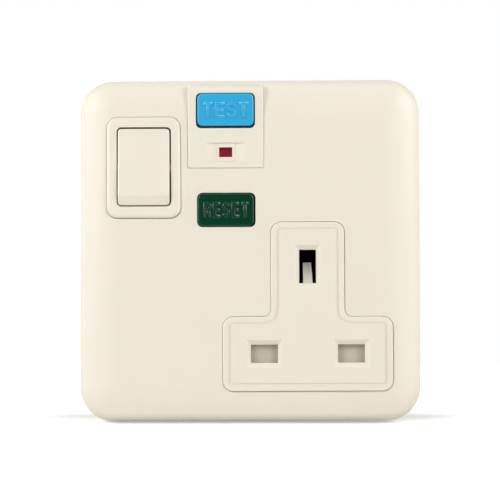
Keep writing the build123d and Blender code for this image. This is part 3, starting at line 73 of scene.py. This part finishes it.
def add_node(material, kind, inputs=None, feeds=None, **settings):
    """Adds a node with its settings, its inputs as values or sockets, and the sockets it feeds."""
    node = material.node_tree.nodes.new(kind)
    for name, value in settings.items():
        setattr(node, name, value)
    for name, value in (inputs or {}).items():
        if isinstance(value, bpy.types.NodeSocket):
            material.node_tree.links.new(value, node.inputs[name])
        else:
            node.inputs[name].default_value = value
    for name, socket in (feeds or {}).items():
        material.node_tree.links.new(node.outputs[name], socket)
    return node


def new_material(name, **shader):
    """A material with its shader's plain sockets set, and the place on the piece in metres."""
    made = bpy.data.materials.new(name)
    made.use_nodes = True
    surface = made.node_tree.nodes["Principled BSDF"]
    for socket, value in shader.items():
        surface.inputs[socket.replace("_", " ")].default_value = value
    return made, surface, add_node(made, "ShaderNodeTexCoord").outputs["Object"]


def waver(material, surface, place, colours, roughness, spacing, stretch=(1, 1, 1)):
    """Lets the colour and the roughness drift between two values over a spacing in metres."""
    lie = add_node(material, "ShaderNodeMapping", {"Vector": place, "Scale": stretch})
    drift = add_node(material, "ShaderNodeTexNoise",
                     {"Vector": lie.outputs["Vector"], "Scale": 1 / spacing,
                      "Detail": DRIFT_DETAIL})
    add_node(material, "ShaderNodeMix",
             {"Factor": drift.outputs["Fac"], COLOUR_A: linear(colours[0]),
              COLOUR_B: linear(colours[1])},
             {MIXED: surface.inputs["Base Color"]}, data_type="RGBA")
    add_node(material, "ShaderNodeMapRange",
             {"Value": drift.outputs["Fac"], "To Min": roughness[0], "To Max": roughness[1]},
             {"Result": surface.inputs["Roughness"]})
    return lie.outputs["Vector"]


def roughen(material, surface, place, grain, depth):
    """Gives the surface a fine grain of a given width and depth in metres."""
    skin = add_node(material, "ShaderNodeTexNoise",
                    {"Vector": place, "Scale": 1 / grain, "Detail": FINE_DETAIL})
    add_node(material, "ShaderNodeBump", {"Height": skin.outputs["Fac"], "Distance": depth},
             {"Normal": surface.inputs["Normal"]})


def dress(material, *names):
    """Gives CAD nodes this material."""
    for name in names:
        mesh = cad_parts[name].data
        mesh.materials.clear()
        mesh.materials.append(material)


def metal(name, colours, roughness, line, along):
    """A metal with rolling or drawing lines of a given spacing that run one way."""
    made, surface, place = new_material(name, Metallic=1.0)
    stretch = [LINE_STRETCH if axis == along else 1.0 for axis in "XYZ"]
    lie = waver(made, surface, place, colours, roughness, LINES_IN_DRIFT * line, stretch)
    roughen(made, surface, lie, line, LINE_DEPTH)
    return made


bar_brass = metal("Drawn brass bar, sawn and drilled", ("#C9A25C", "#B88F4A"),
                  roughness=(0.24, 0.42), line=0.12 * MM, along="Z")
dress(bar_brass, "live_terminal", "neutral_terminal", "earth_terminal")
zinc_screw = metal("Steel screw, zinc plated", ("#C9CDD0", "#AEB4B8"),
                   roughness=(0.22, 0.38), line=0.3 * MM, along="Y")
dress(zinc_screw, "terminal_screws")

# Rear housing: one deep moulding in cream glass filled nylon, closed by four screws.
# Its tool was spark eroded, which leaves a dry grain, and nobody polishes the back.
# That grain is about 0.05 mm wide, too fine to show, and is drawn four times as coarse.

FLOW = 14 * MM


def moulding(name, colours, roughness, grain, depth):
    """A moulded plastic: colour and gloss drift a little as it flowed, over its tool's grain."""
    made, surface, place = new_material(name, IOR=1.5)
    waver(made, surface, place, colours, roughness, FLOW)
    roughen(made, surface, place, grain, depth)
    return made


nylon = moulding("Cream nylon, spark eroded grain", ("#E6DFCD", "#E0D8C5"),
                 roughness=(0.5, 0.62), grain=0.22 * MM, depth=0.03 * MM)
dress(nylon, "rear_housing")
dress(zinc_screw, "housing_screws")

# Terminal letters: L, N and E stand up from the housing's lower wall, beside the cable entries.
# They are cut into the tool, so they are the same nylon, with drafted flanks and soft crests.

ARC_STEP = 25


def arc(middle, start, end):
    """Places on the ellipse that fills half a letter's box, from its middle and two angles."""
    count = max(2, round(abs(end - start) / ARC_STEP))
    angles = [radians(start + (end - start) * i / count) for i in range(count + 1)]
    return [(0.5 + 0.5 * cos(a), middle + 0.25 * sin(a)) for a in angles]


# Plain capitals as strokes, their places in shares of the letter's width and height
LETTERS = {
    "T": [[(0, 1), (1, 1)], [(0.5, 0.97), (0.5, 0)]],
    "E": [[(1, 1), (0, 1), (0, 0), (1, 0)], [(0.05, 0.5), (0.85, 0.5)]],
    "L": [[(0, 1), (0, 0), (1, 0)]],
    "N": [[(0, 0), (0, 1), (1, 0), (1, 1)]],
    "S": [arc(0.75, 25, 270) + arc(0.25, 65, -155)],
    "R": [[(0, 0), (0, 1)] + arc(0.75, 90, -90) + [(0.05, 0.5)], [(0.5, 0.485), (1, 0)]],
}
# Half of a stroke's section: places across and up, as shares of its half width and of its rise
LETTER_SECTION = ((1.0, -0.25), (1.0, 0.0), (0.88, 0.5), (0.7, 0.8), (0.46, 0.95), (0.24, 1.0),
                  (0.0, 1.0))
# Where a stroke turns by more than 120 degrees, whose half has this cosine, its corner is cut
MITRE_END = 0.5
CREST_STEP = 0.005 * MM


def ridge(stroke, width, rise):
    """A ridge with drafted flanks and a soft crest along a stroke, as corners and faces."""
    section = list(LETTER_SECTION) + [(-across, up) for across, up in LETTER_SECTION[-2::-1]]
    places = [Vector(place) for place in stroke]
    corners, faces = [], []
    for i, place in enumerate(places):
        before = (place - places[i - 1]).normalized() if i else (places[1] - place).normalized()
        after = (places[i + 1] - place).normalized() if i + 1 < len(places) else before
        along = (before + after).normalized()
        side = Vector((-along.y, along.x)) / max(MITRE_END, along.dot(after))
        end = -1 if i == 0 else 1 if i + 1 == len(places) else 0
        for across, up in section:
            spot = place + side * across * width / 2 + along * end * abs(across) * width / 2
            corners.append((spot.x, -up * rise, spot.y))
    count = len(section)
    for i in range(len(places) - 1):
        a, b = count * i, count * (i + 1)
        for j in range(count):
            k = (j + 1) % count
            faces.append((a + j, a + k, b + k, b + j))
    last = count * (len(places) - 1)
    faces += [tuple(range(count - 1, -1, -1)), tuple(range(last, last + count))]
    return corners, faces


def raised_word(name, word, size, gap, middle, width, rise):
    """A word in raised letters that face the front, centred on a place."""
    wide, high = size
    start = -(len(word) * wide + (len(word) - 1) * gap) / 2
    corners, faces = [], []
    for i, sign in enumerate(word):
        for j, stroke in enumerate(LETTERS[sign]):
            at = [(start + i * (wide + gap) + x * wide, (y - 0.5) * high) for x, y in stroke]
            # The second stroke's crest is a hair lower, so that two crests never share one plane
            new_corners, new_faces = ridge(at, width, rise - CREST_STEP * j)
            faces += [[len(corners) + k for k in face] for face in new_faces]
            corners += new_corners
    mesh = bpy.data.meshes.new(name)
    mesh.from_pydata(corners, [], faces)
    mesh.polygons.foreach_set("use_smooth", [len(face.vertices) == 4 for face in mesh.polygons])
    obj = bpy.data.objects.new(name, mesh)
    bpy.context.scene.collection.objects.link(obj)
    obj.location = middle
    return obj


ENTRY_LETTER = (2.2 * MM, 3.0 * MM)
ENTRY_STROKE = (0.7 * MM, 0.25 * MM)
ENTRY_LETTER_Y = 6 * MM
lower_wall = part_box("rear_housing")[0].z
for sign, node in (("L", "live_terminal"), ("N", "neutral_terminal"), ("E", "earth_terminal")):
    block_low, block_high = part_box(node)
    beside = Vector(((block_low.x + block_high.x) / 2, ENTRY_LETTER_Y, lower_wall))
    mark = raised_word("mark_" + sign, sign, ENTRY_LETTER, 0, beside, *ENTRY_STROKE)
    mark.rotation_euler = (pi / 2, 0, 0)
    mark.data.materials.append(nylon)
    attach(mark, "plate")

# Current transformer: a wound ferrite ring sealed in a black nylon case, round both supply leads.
# The nylon and the ground ferrite are dull and dark. The winding is enamelled copper, laid turn
# by turn, so it shows as close glossy ribs.

black_nylon = moulding("Black nylon, matt", ("#1B1B1A", "#232322"),
                       roughness=(0.45, 0.6), grain=0.2 * MM, depth=0.02 * MM)
dress(black_nylon, "toroid_case")
ferrite = moulding("Ferrite, ground and tumbled", ("#34332F", "#2A2927"),
                   roughness=(0.55, 0.7), grain=0.15 * MM, depth=0.02 * MM)
dress(ferrite, "toroid_core")


def winding(name, wire):
    """Enamelled copper wire of a given thickness, laid side by side."""
    made, surface, place = new_material(name, Metallic=0.85, Coat_Weight=0.8, Coat_Roughness=0.15)
    waver(made, surface, place, ("#B5612F", "#9C4A22"), roughness=(0.25, 0.38), spacing=3 * MM)
    # A wave texture of scale 1 has one band in a tenth of a metre times pi
    turns = add_node(made, "ShaderNodeTexWave", {"Vector": place, "Scale": pi / (10 * wire)})
    add_node(made, "ShaderNodeBump", {"Height": turns.outputs["Fac"], "Distance": wire / 3},
             {"Normal": surface.inputs["Normal"]})
    return made


dress(winding("Enamelled copper, toroid winding", wire=0.45 * MM), "toroid_winding")

# Supply leads: stranded copper in PVC, brown for live and blue for neutral, through the ring.
# Extruded PVC is soft and slightly glossy, with a faint pull along the wire.


def pvc(name, colours):
    """Extruded PVC insulation."""
    made, surface, place = new_material(name, IOR=1.52)
    waver(made, surface, place, colours, roughness=(0.32, 0.46), spacing=5 * MM)
    roughen(made, surface, place, grain=0.5 * MM, depth=0.02 * MM)
    return made


dress(pvc("Brown PVC insulation", ("#5A3320", "#6B3F28")), "live_lead")
dress(pvc("Blue PVC insulation", ("#1F5FA8", "#2B6DB8")), "neutral_lead")

# Trip circuit: a glass epoxy board with green solder resist, and its parts soldered to its back.
# The resist is glossy over the weave of the glass. The parts are dull moulded epoxy, lacquer
# that was dipped and looks wet, and a smooth shrunk sleeve.

THREAD = 0.5 * MM
THREAD_RISE = 0.006 * MM
made, surface, place = new_material("Glass epoxy board, green resist", IOR=1.55, Coat_Weight=0.6,
                                    Coat_Roughness=0.12)
waver(made, surface, place, ("#1E5A34", "#174A2A"), roughness=(0.3, 0.42), spacing=4 * MM)
weave = add_node(made, "ShaderNodeTexChecker", {"Vector": place, "Scale": 1 / THREAD})
add_node(made, "ShaderNodeBump", {"Height": weave.outputs["Fac"], "Distance": THREAD_RISE},
         {"Normal": surface.inputs["Normal"]})
dress(made, "circuit_board")
dress(moulding("Moulded black epoxy", ("#202021", "#2A2A2B"),
               roughness=(0.4, 0.55), grain=0.12 * MM, depth=0.012 * MM),
      "control_chip", "thyristor", "rectifier_diodes")
dress(moulding("Dipped blue lacquer", ("#1E4E9A", "#2559A8"),
               roughness=(0.2, 0.32), grain=0.9 * MM, depth=0.05 * MM), "varistor")
dress(moulding("Beige resistor lacquer", ("#C9B48A", "#BFA87C"),
               roughness=(0.25, 0.38), grain=0.7 * MM, depth=0.03 * MM), "resistors")
dress(moulding("Shrunk black sleeve", ("#16181C", "#1D2026"),
               roughness=(0.24, 0.34), grain=1.2 * MM, depth=0.02 * MM), "capacitor")

# Solenoid: a folded steel yoke, a nylon bobbin wound with copper, and a turned steel core.
# The yoke is stamped and zinc plated, so it is a little blue, and the ground core is brighter.

yoke_steel = metal("Stamped steel, zinc plated", ("#B9BCBD", "#A2A6A8"),
                   roughness=(0.28, 0.45), line=0.25 * MM, along="Y")
dress(yoke_steel, "solenoid_frame", "latch_plate")
dress(black_nylon, "solenoid_bobbin")
dress(winding("Enamelled copper, solenoid winding", wire=0.3 * MM), "solenoid_coil")
ground_steel = metal("Ground steel rod", ("#C4C5C6", "#B4B6B7"),
                     roughness=(0.18, 0.28), line=0.08 * MM, along="X")
dress(ground_steel, "solenoid_core", "flag_pin")

# Main contacts: a black nylon carriage lifts two bridging strips to the fixed ones, with silver
# rivets. The strips are rolled brass with fine lines, and the springs are drawn steel wire.

dress(black_nylon, "contact_carriage", "rocker_plunger")
strip_brass = metal("Rolled brass strip", ("#D0AA62", "#BF9650"),
                    roughness=(0.22, 0.36), line=0.15 * MM, along="Z")
dress(strip_brass, "moving_contacts", "line_contacts", "load_contacts")
spring_wire = metal("Drawn spring steel wire", ("#BDBDBB", "#A6A6A4"),
                    roughness=(0.2, 0.32), line=0.1 * MM, along="Y")
dress(spring_wire, "trip_springs", "test_button_spring", "reset_button_spring", "shutter_spring",
      "rocker_spring")

# Switch contacts, bus bars and plug contacts: stamped and folded from the same rolled strip.
# The earth contact is phosphor bronze for its spring, duller than the brass, and darker partly by
# its own tone and partly as painted shade that blacks out the deep earth aperture.

dress(strip_brass, "seesaw_contact", "switch_bridge", "switch_contact", "live_link", "live_bar",
      "neutral_bar", "live_contact", "neutral_contact", "earth_strap", "test_leaf")
# Darker than bare bronze: painted shade for the earth aperture
bronze_with_painted_shade = metal("Phosphor bronze, dull, with painted shade", ("#6E5330", "#5C4427"),
                    roughness=(0.5, 0.65), line=0.15 * MM, along="Z")
dress(bronze_with_painted_shade, "earth_contact")

# Chassis: the moulded plate that all the works hang from, with two M3.5 screws for the wall box.
# It is the same grained nylon as the housing, and the screws are zinc plated.

dress(nylon, "chassis")
dress(zinc_screw, "fixing_screws")

# Shutter: a plain nylon slide, left dull from its tool. Its cream is painted a darker, greyer
# beige than the cover: painted shade for its place deep behind the apertures.
# It closes the live and neutral apertures until the earth pin presses its ramp.

# Blades darker than the cover's cream: painted shade
painted_shutter_nylon = moulding("Cream nylon, darkened as painted shade, matt", ("#C3BDAD", "#BDB7A5"),
                         roughness=(0.42, 0.55), grain=0.3 * MM, depth=0.012 * MM)
# The ramp is paler and greyer than the blades: painted light, which lifts it out of the shade deep
# in the earth aperture
RAMP_PAINTED_LIGHT = "#F3F1E4"
RAMP_REACH = (9 * MM, 7 * MM)
ramp_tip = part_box("shutter")[1].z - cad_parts["shutter"].matrix_world.translation.z
base = painted_shutter_nylon.node_tree.nodes["Principled BSDF"].inputs["Base Color"]
spot = add_node(painted_shutter_nylon, "ShaderNodeTexCoord")
height = add_node(painted_shutter_nylon, "ShaderNodeSeparateXYZ", {"Vector": spot.outputs["Object"]})
painted_light_on_ramp = add_node(painted_shutter_nylon, "ShaderNodeMapRange",
                   {"Value": height.outputs["Z"], "From Min": ramp_tip - RAMP_REACH[0],
                    "From Max": ramp_tip - RAMP_REACH[1]})
# Blends the blades' colour into the ramp's painted light towards the ramp's tip
add_node(painted_shutter_nylon, "ShaderNodeMix",
         {"Factor": painted_light_on_ramp.outputs["Result"], COLOUR_A: base.links[0].from_socket,
          COLOUR_B: linear(RAMP_PAINTED_LIGHT)}, {MIXED: base}, data_type="RGBA")
dress(painted_shutter_nylon, "shutter")

# Front mouldings: cover, T face, switch bezel, rocker and unit panel, in urea formaldehyde.
# The cream thermoset is hard and comes from a polished tool: satin, with a very faint orange
# peel about a millimetre wide.

urea = moulding("Cream urea formaldehyde, satin", ("#EEE7D7", "#ECE5D4"),
                roughness=(0.3, 0.36), grain=1.1 * MM, depth=0.003 * MM)
dress(urea, "front_cover", "socket_face", "switch_bezel", "rocker", "rcd_panel")

# Trip window: a clear polycarbonate lens over a red flag on a swinging arm.
# The lens is pressed in from behind, a little below the frame round it, and is clear with a
# faint moulded ripple. The flag is glossy acetal.

made, surface, place = new_material("Clear polycarbonate lens", IOR=1.58, Transmission_Weight=1.0)
waver(made, surface, place, ("#FFFFFF", "#FBFBFA"), roughness=(0.02, 0.05), spacing=2 * MM)
roughen(made, surface, place, grain=0.8 * MM, depth=0.003 * MM)
# Only the camera's rays bend in it: light goes straight through, so that the flag behind is lit
path = add_node(made, "ShaderNodeLightPath")
straight = add_node(made, "ShaderNodeBsdfTransparent")
add_node(made, "ShaderNodeMixShader",
         {"Fac": path.outputs["Is Camera Ray"], 1: straight.outputs["BSDF"],
          2: surface.outputs["BSDF"]},
         {"Shader": made.node_tree.nodes["Material Output"].inputs["Surface"]})
dress(made, "indicator_lens")
dress(moulding("Red acetal, gloss", ("#E81C58", "#DE1850"),
               roughness=(0.25, 0.35), grain=0.5 * MM, depth=0.006 * MM), "trip_flag")

# Push buttons: sky blue and dark green ABS caps, with raised letters from the same tool.
# Polished ABS has a deep gloss, and the letters' drafted flanks let the cap leave its tool and
# catch the light.

blue_abs = moulding("Sky blue ABS, gloss", ("#31A9DA", "#39AFDF"),
                    roughness=(0.1, 0.15), grain=0.9 * MM, depth=0.003 * MM)
dress(blue_abs, "test_button")
green_abs = moulding("Dark green ABS, gloss", ("#003823", "#003A25"),
                     roughness=(0.1, 0.15), grain=0.9 * MM, depth=0.003 * MM)
dress(green_abs, "reset_button")

BUTTON_STROKE = (0.98 * MM, 0.32 * MM)
WORDS = (("TEST", "test_button", "blue", (1.84 * MM, 3.3 * MM), 1.18 * MM,
          (-6.03 * MM, 35.62 * MM), blue_abs),
         ("RESET", "reset_button", "green", (1.28 * MM, 3.25 * MM), 1.1 * MM,
          (-6.0 * MM, 10.1 * MM), green_abs))
for word, node, colour, size, gap, (x, z), material in WORDS:
    on_cap = Vector((x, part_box(node)[0].y, z))
    raised = raised_word(word.lower() + "_letters", word, size, gap, on_cap, *BUTTON_STROKE)
    raised.data.materials.append(material)
    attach(raised, node)

# Camera: in front of the plate, a little below its middle and looking up a little.
# The photograph's scale, and the plate's middle in its pixels, hold on the plate's face.

PHOTO = 500
PIXELS_PER_MM = 3.919
PLATE_CENTRE = (250.35, 249.5)
FACE_OUT = 11.0 * MM
DISTANCE = 0.8
TILT = radians(2.1)
ROLL = radians(0.22)
SENSOR = 36.0

camera = bpy.data.objects.new("camera", bpy.data.cameras.new("camera"))
bpy.context.scene.collection.objects.link(camera)
bpy.context.scene.camera = camera
camera.data.sensor_width = SENSOR
camera.data.lens = SENSOR * DISTANCE / (PHOTO / PIXELS_PER_MM * MM)
aim = Vector(((PHOTO / 2 - PLATE_CENTRE[0]) / PIXELS_PER_MM * MM, -FACE_OUT,
              (PLATE_CENTRE[1] - PHOTO / 2) / PIXELS_PER_MM * MM))
camera.location = aim + DISTANCE * Vector((0, -cos(TILT), -sin(TILT)))
camera.rotation_mode = "XYZ"
camera.rotation_euler = (pi / 2 + TILT, ROLL, 0)

# Floor: a sheet of white paper that the plate stands on by its lower edge. It rises a little
# behind the plate, as a sweep does, so the camera sees its shadow. To the camera it is plain
# white, but for a blunt patch round the plate which glows less: a painted shadow, darkest
# near the plate and fading outwards, over which the real shadow shows too.

FLOOR_HALF = 1.5
FLOOR_BEHIND = 0.12
FLOOR_SLOPE = radians(7)
FLOOR_GAP = 0.1 * MM
sheet = bpy.data.meshes.new("floor")
sheet.from_pydata([(-FLOOR_HALF, -FLOOR_HALF, 0), (FLOOR_HALF, -FLOOR_HALF, 0),
                   (FLOOR_HALF, FLOOR_BEHIND, 0), (-FLOOR_HALF, FLOOR_BEHIND, 0)],
                  [], [(0, 1, 2, 3)])
floor = bpy.data.objects.new("floor", sheet)
bpy.context.scene.collection.objects.link(floor)
floor.location = (0, 0, cad_box[0].z - FLOOR_GAP)
floor.rotation_euler = (FLOOR_SLOPE, ROLL, 0)

# The painted shadow patch: its middle and half sizes on the floor, how square it is, and how
# it fades to white
SHADOW_MIDDLE = 7 * MM
SHADOW_HALF = (64 * MM, 26 * MM)
SHADOW_BLUNTNESS = 6
SHADOW_FADE = (0.14, 1.0)
FLOOR_GLOW = (0.2, 1.0)
made = bpy.data.materials.new("White paper sweep")
made.use_nodes = True
made.node_tree.nodes.clear()
paper = add_node(made, "ShaderNodeBsdfDiffuse", {"Color": linear("#E8E8E8")})
spot = add_node(made, "ShaderNodeTexCoord")
lie = add_node(made, "ShaderNodeMapping",
               {"Vector": spot.outputs["Object"],
                "Location": (0, -SHADOW_MIDDLE / SHADOW_HALF[1], 0),
                "Scale": (1 / SHADOW_HALF[0], 1 / SHADOW_HALF[1], 1)})
shares = add_node(made, "ShaderNodeSeparateXYZ", {"Vector": lie.outputs["Vector"]})
sideways = add_node(made, "ShaderNodeMath", {0: shares.outputs["X"]}, operation="ABSOLUTE")
blunt = add_node(made, "ShaderNodeMath", {0: sideways.outputs["Value"], 1: SHADOW_BLUNTNESS},
                 operation="POWER")
deep = add_node(made, "ShaderNodeMath", {0: shares.outputs["Y"]}, operation="ABSOLUTE")
away = add_node(made, "ShaderNodeMath", {0: deep.outputs["Value"], 1: blunt.outputs["Value"]},
                operation="ADD")
# Glow rises from the patch's middle outwards: a painted shadow round the plate
painted_shadow_glow = add_node(made, "ShaderNodeMapRange",
                  {"Value": away.outputs["Value"], "From Min": SHADOW_FADE[0],
                   "From Max": SHADOW_FADE[1], "To Min": FLOOR_GLOW[0], "To Max": FLOOR_GLOW[1]})
glow = add_node(made, "ShaderNodeEmission",
                {"Color": linear("#FFFFFF"), "Strength": painted_shadow_glow.outputs["Result"]})
both = add_node(made, "ShaderNodeAddShader",
                {0: paper.outputs["BSDF"], 1: glow.outputs["Emission"]})
# From below it isn't there, so that the part can be looked at from behind too
path = add_node(made, "ShaderNodeLightPath")
side = add_node(made, "ShaderNodeNewGeometry")
straight = add_node(made, "ShaderNodeBsdfTransparent")
seen = add_node(made, "ShaderNodeMixShader",
                {"Fac": side.outputs["Backfacing"], 1: both.outputs["Shader"],
                 2: straight.outputs["BSDF"]})
out = add_node(made, "ShaderNodeOutputMaterial")
add_node(made, "ShaderNodeMixShader",
         {"Fac": path.outputs["Is Camera Ray"], 1: paper.outputs["BSDF"],
          2: seen.outputs["Shader"]}, {"Shader": out.inputs["Surface"]})
floor.data.materials.append(made)

# Studio: white walls all round, which the camera, the gloss and the lens see as white.
# The camera's side is left dark, so the glossy caps don't mirror it, and the walls themselves
# shed only a weak light on the part.

WALLS_FADE = (-0.95, -0.7)
WALLS_WHITE = (0.1, 1.0)
WALLS_LIGHT = 0.36
world = bpy.data.worlds.new("studio")
bpy.context.scene.world = world
world.use_nodes = True
world.node_tree.nodes.clear()
path = add_node(world, "ShaderNodeLightPath")
way = add_node(world, "ShaderNodeTexCoord")
along = add_node(world, "ShaderNodeSeparateXYZ", {"Vector": way.outputs["Generated"]})
white = add_node(world, "ShaderNodeMapRange",
                 {"Value": along.outputs["Y"], "From Min": WALLS_FADE[0],
                  "From Max": WALLS_FADE[1], "To Min": WALLS_WHITE[0], "To Max": WALLS_WHITE[1]})
in_gloss = add_node(world, "ShaderNodeMath",
                    {0: path.outputs["Is Glossy Ray"], 1: white.outputs["Result"]},
                    operation="MULTIPLY")
in_view = add_node(world, "ShaderNodeMath",
                   {0: path.outputs["Is Camera Ray"], 1: in_gloss.outputs["Value"]},
                   operation="MAXIMUM")
shown = add_node(world, "ShaderNodeMath",
                 {0: in_view.outputs["Value"], 1: path.outputs["Is Transmission Ray"]},
                 operation="MAXIMUM")
shed = add_node(world, "ShaderNodeMath", {0: white.outputs["Result"], 1: WALLS_LIGHT},
                operation="MULTIPLY")
strength = add_node(world, "ShaderNodeMath",
                    {0: shown.outputs["Value"], 1: shed.outputs["Value"]}, operation="MAXIMUM")
out = add_node(world, "ShaderNodeOutputWorld")
add_node(world, "ShaderNodeBackground",
         {"Color": linear("#FFFFFF"), "Strength": strength.outputs["Value"]},
         {"Background": out.inputs["Surface"]})

# Lamps: two soft boxes in front, one behind for the views from the back, and a strip at each
# side that grazes the plate. Each has its place and its size in metres and its power in watts.

LAMPS = (("left_softbox", (-0.74, -0.76, 0.4), (0.5, 0.6), 5.65),
         ("right_softbox", (0.74, -0.76, 0.4), (0.5, 0.6), 5.45),
         ("back_softbox", (-0.3, 1.0, 0.3), (0.5, 0.6), 5.0),
         ("left_strip", (-0.9, -0.06, 0.05), (0.2, 0.9), 3.2),
         ("right_strip", (0.9, -0.06, 0.05), (0.2, 0.9), 2.2))
for name, place, size, power in LAMPS:
    lamp = bpy.data.lights.new(name, "AREA")
    lamp.shape = "RECTANGLE"
    lamp.size, lamp.size_y = size
    lamp.energy = power
    box = bpy.data.objects.new(name, lamp)
    box.location = place
    box.rotation_mode = "QUATERNION"
    box.rotation_quaternion = (-Vector(place)).to_track_quat("-Z", "Y")
    bpy.context.scene.collection.objects.link(box)

bpy.context.scene.view_settings.view_transform = "Standard"
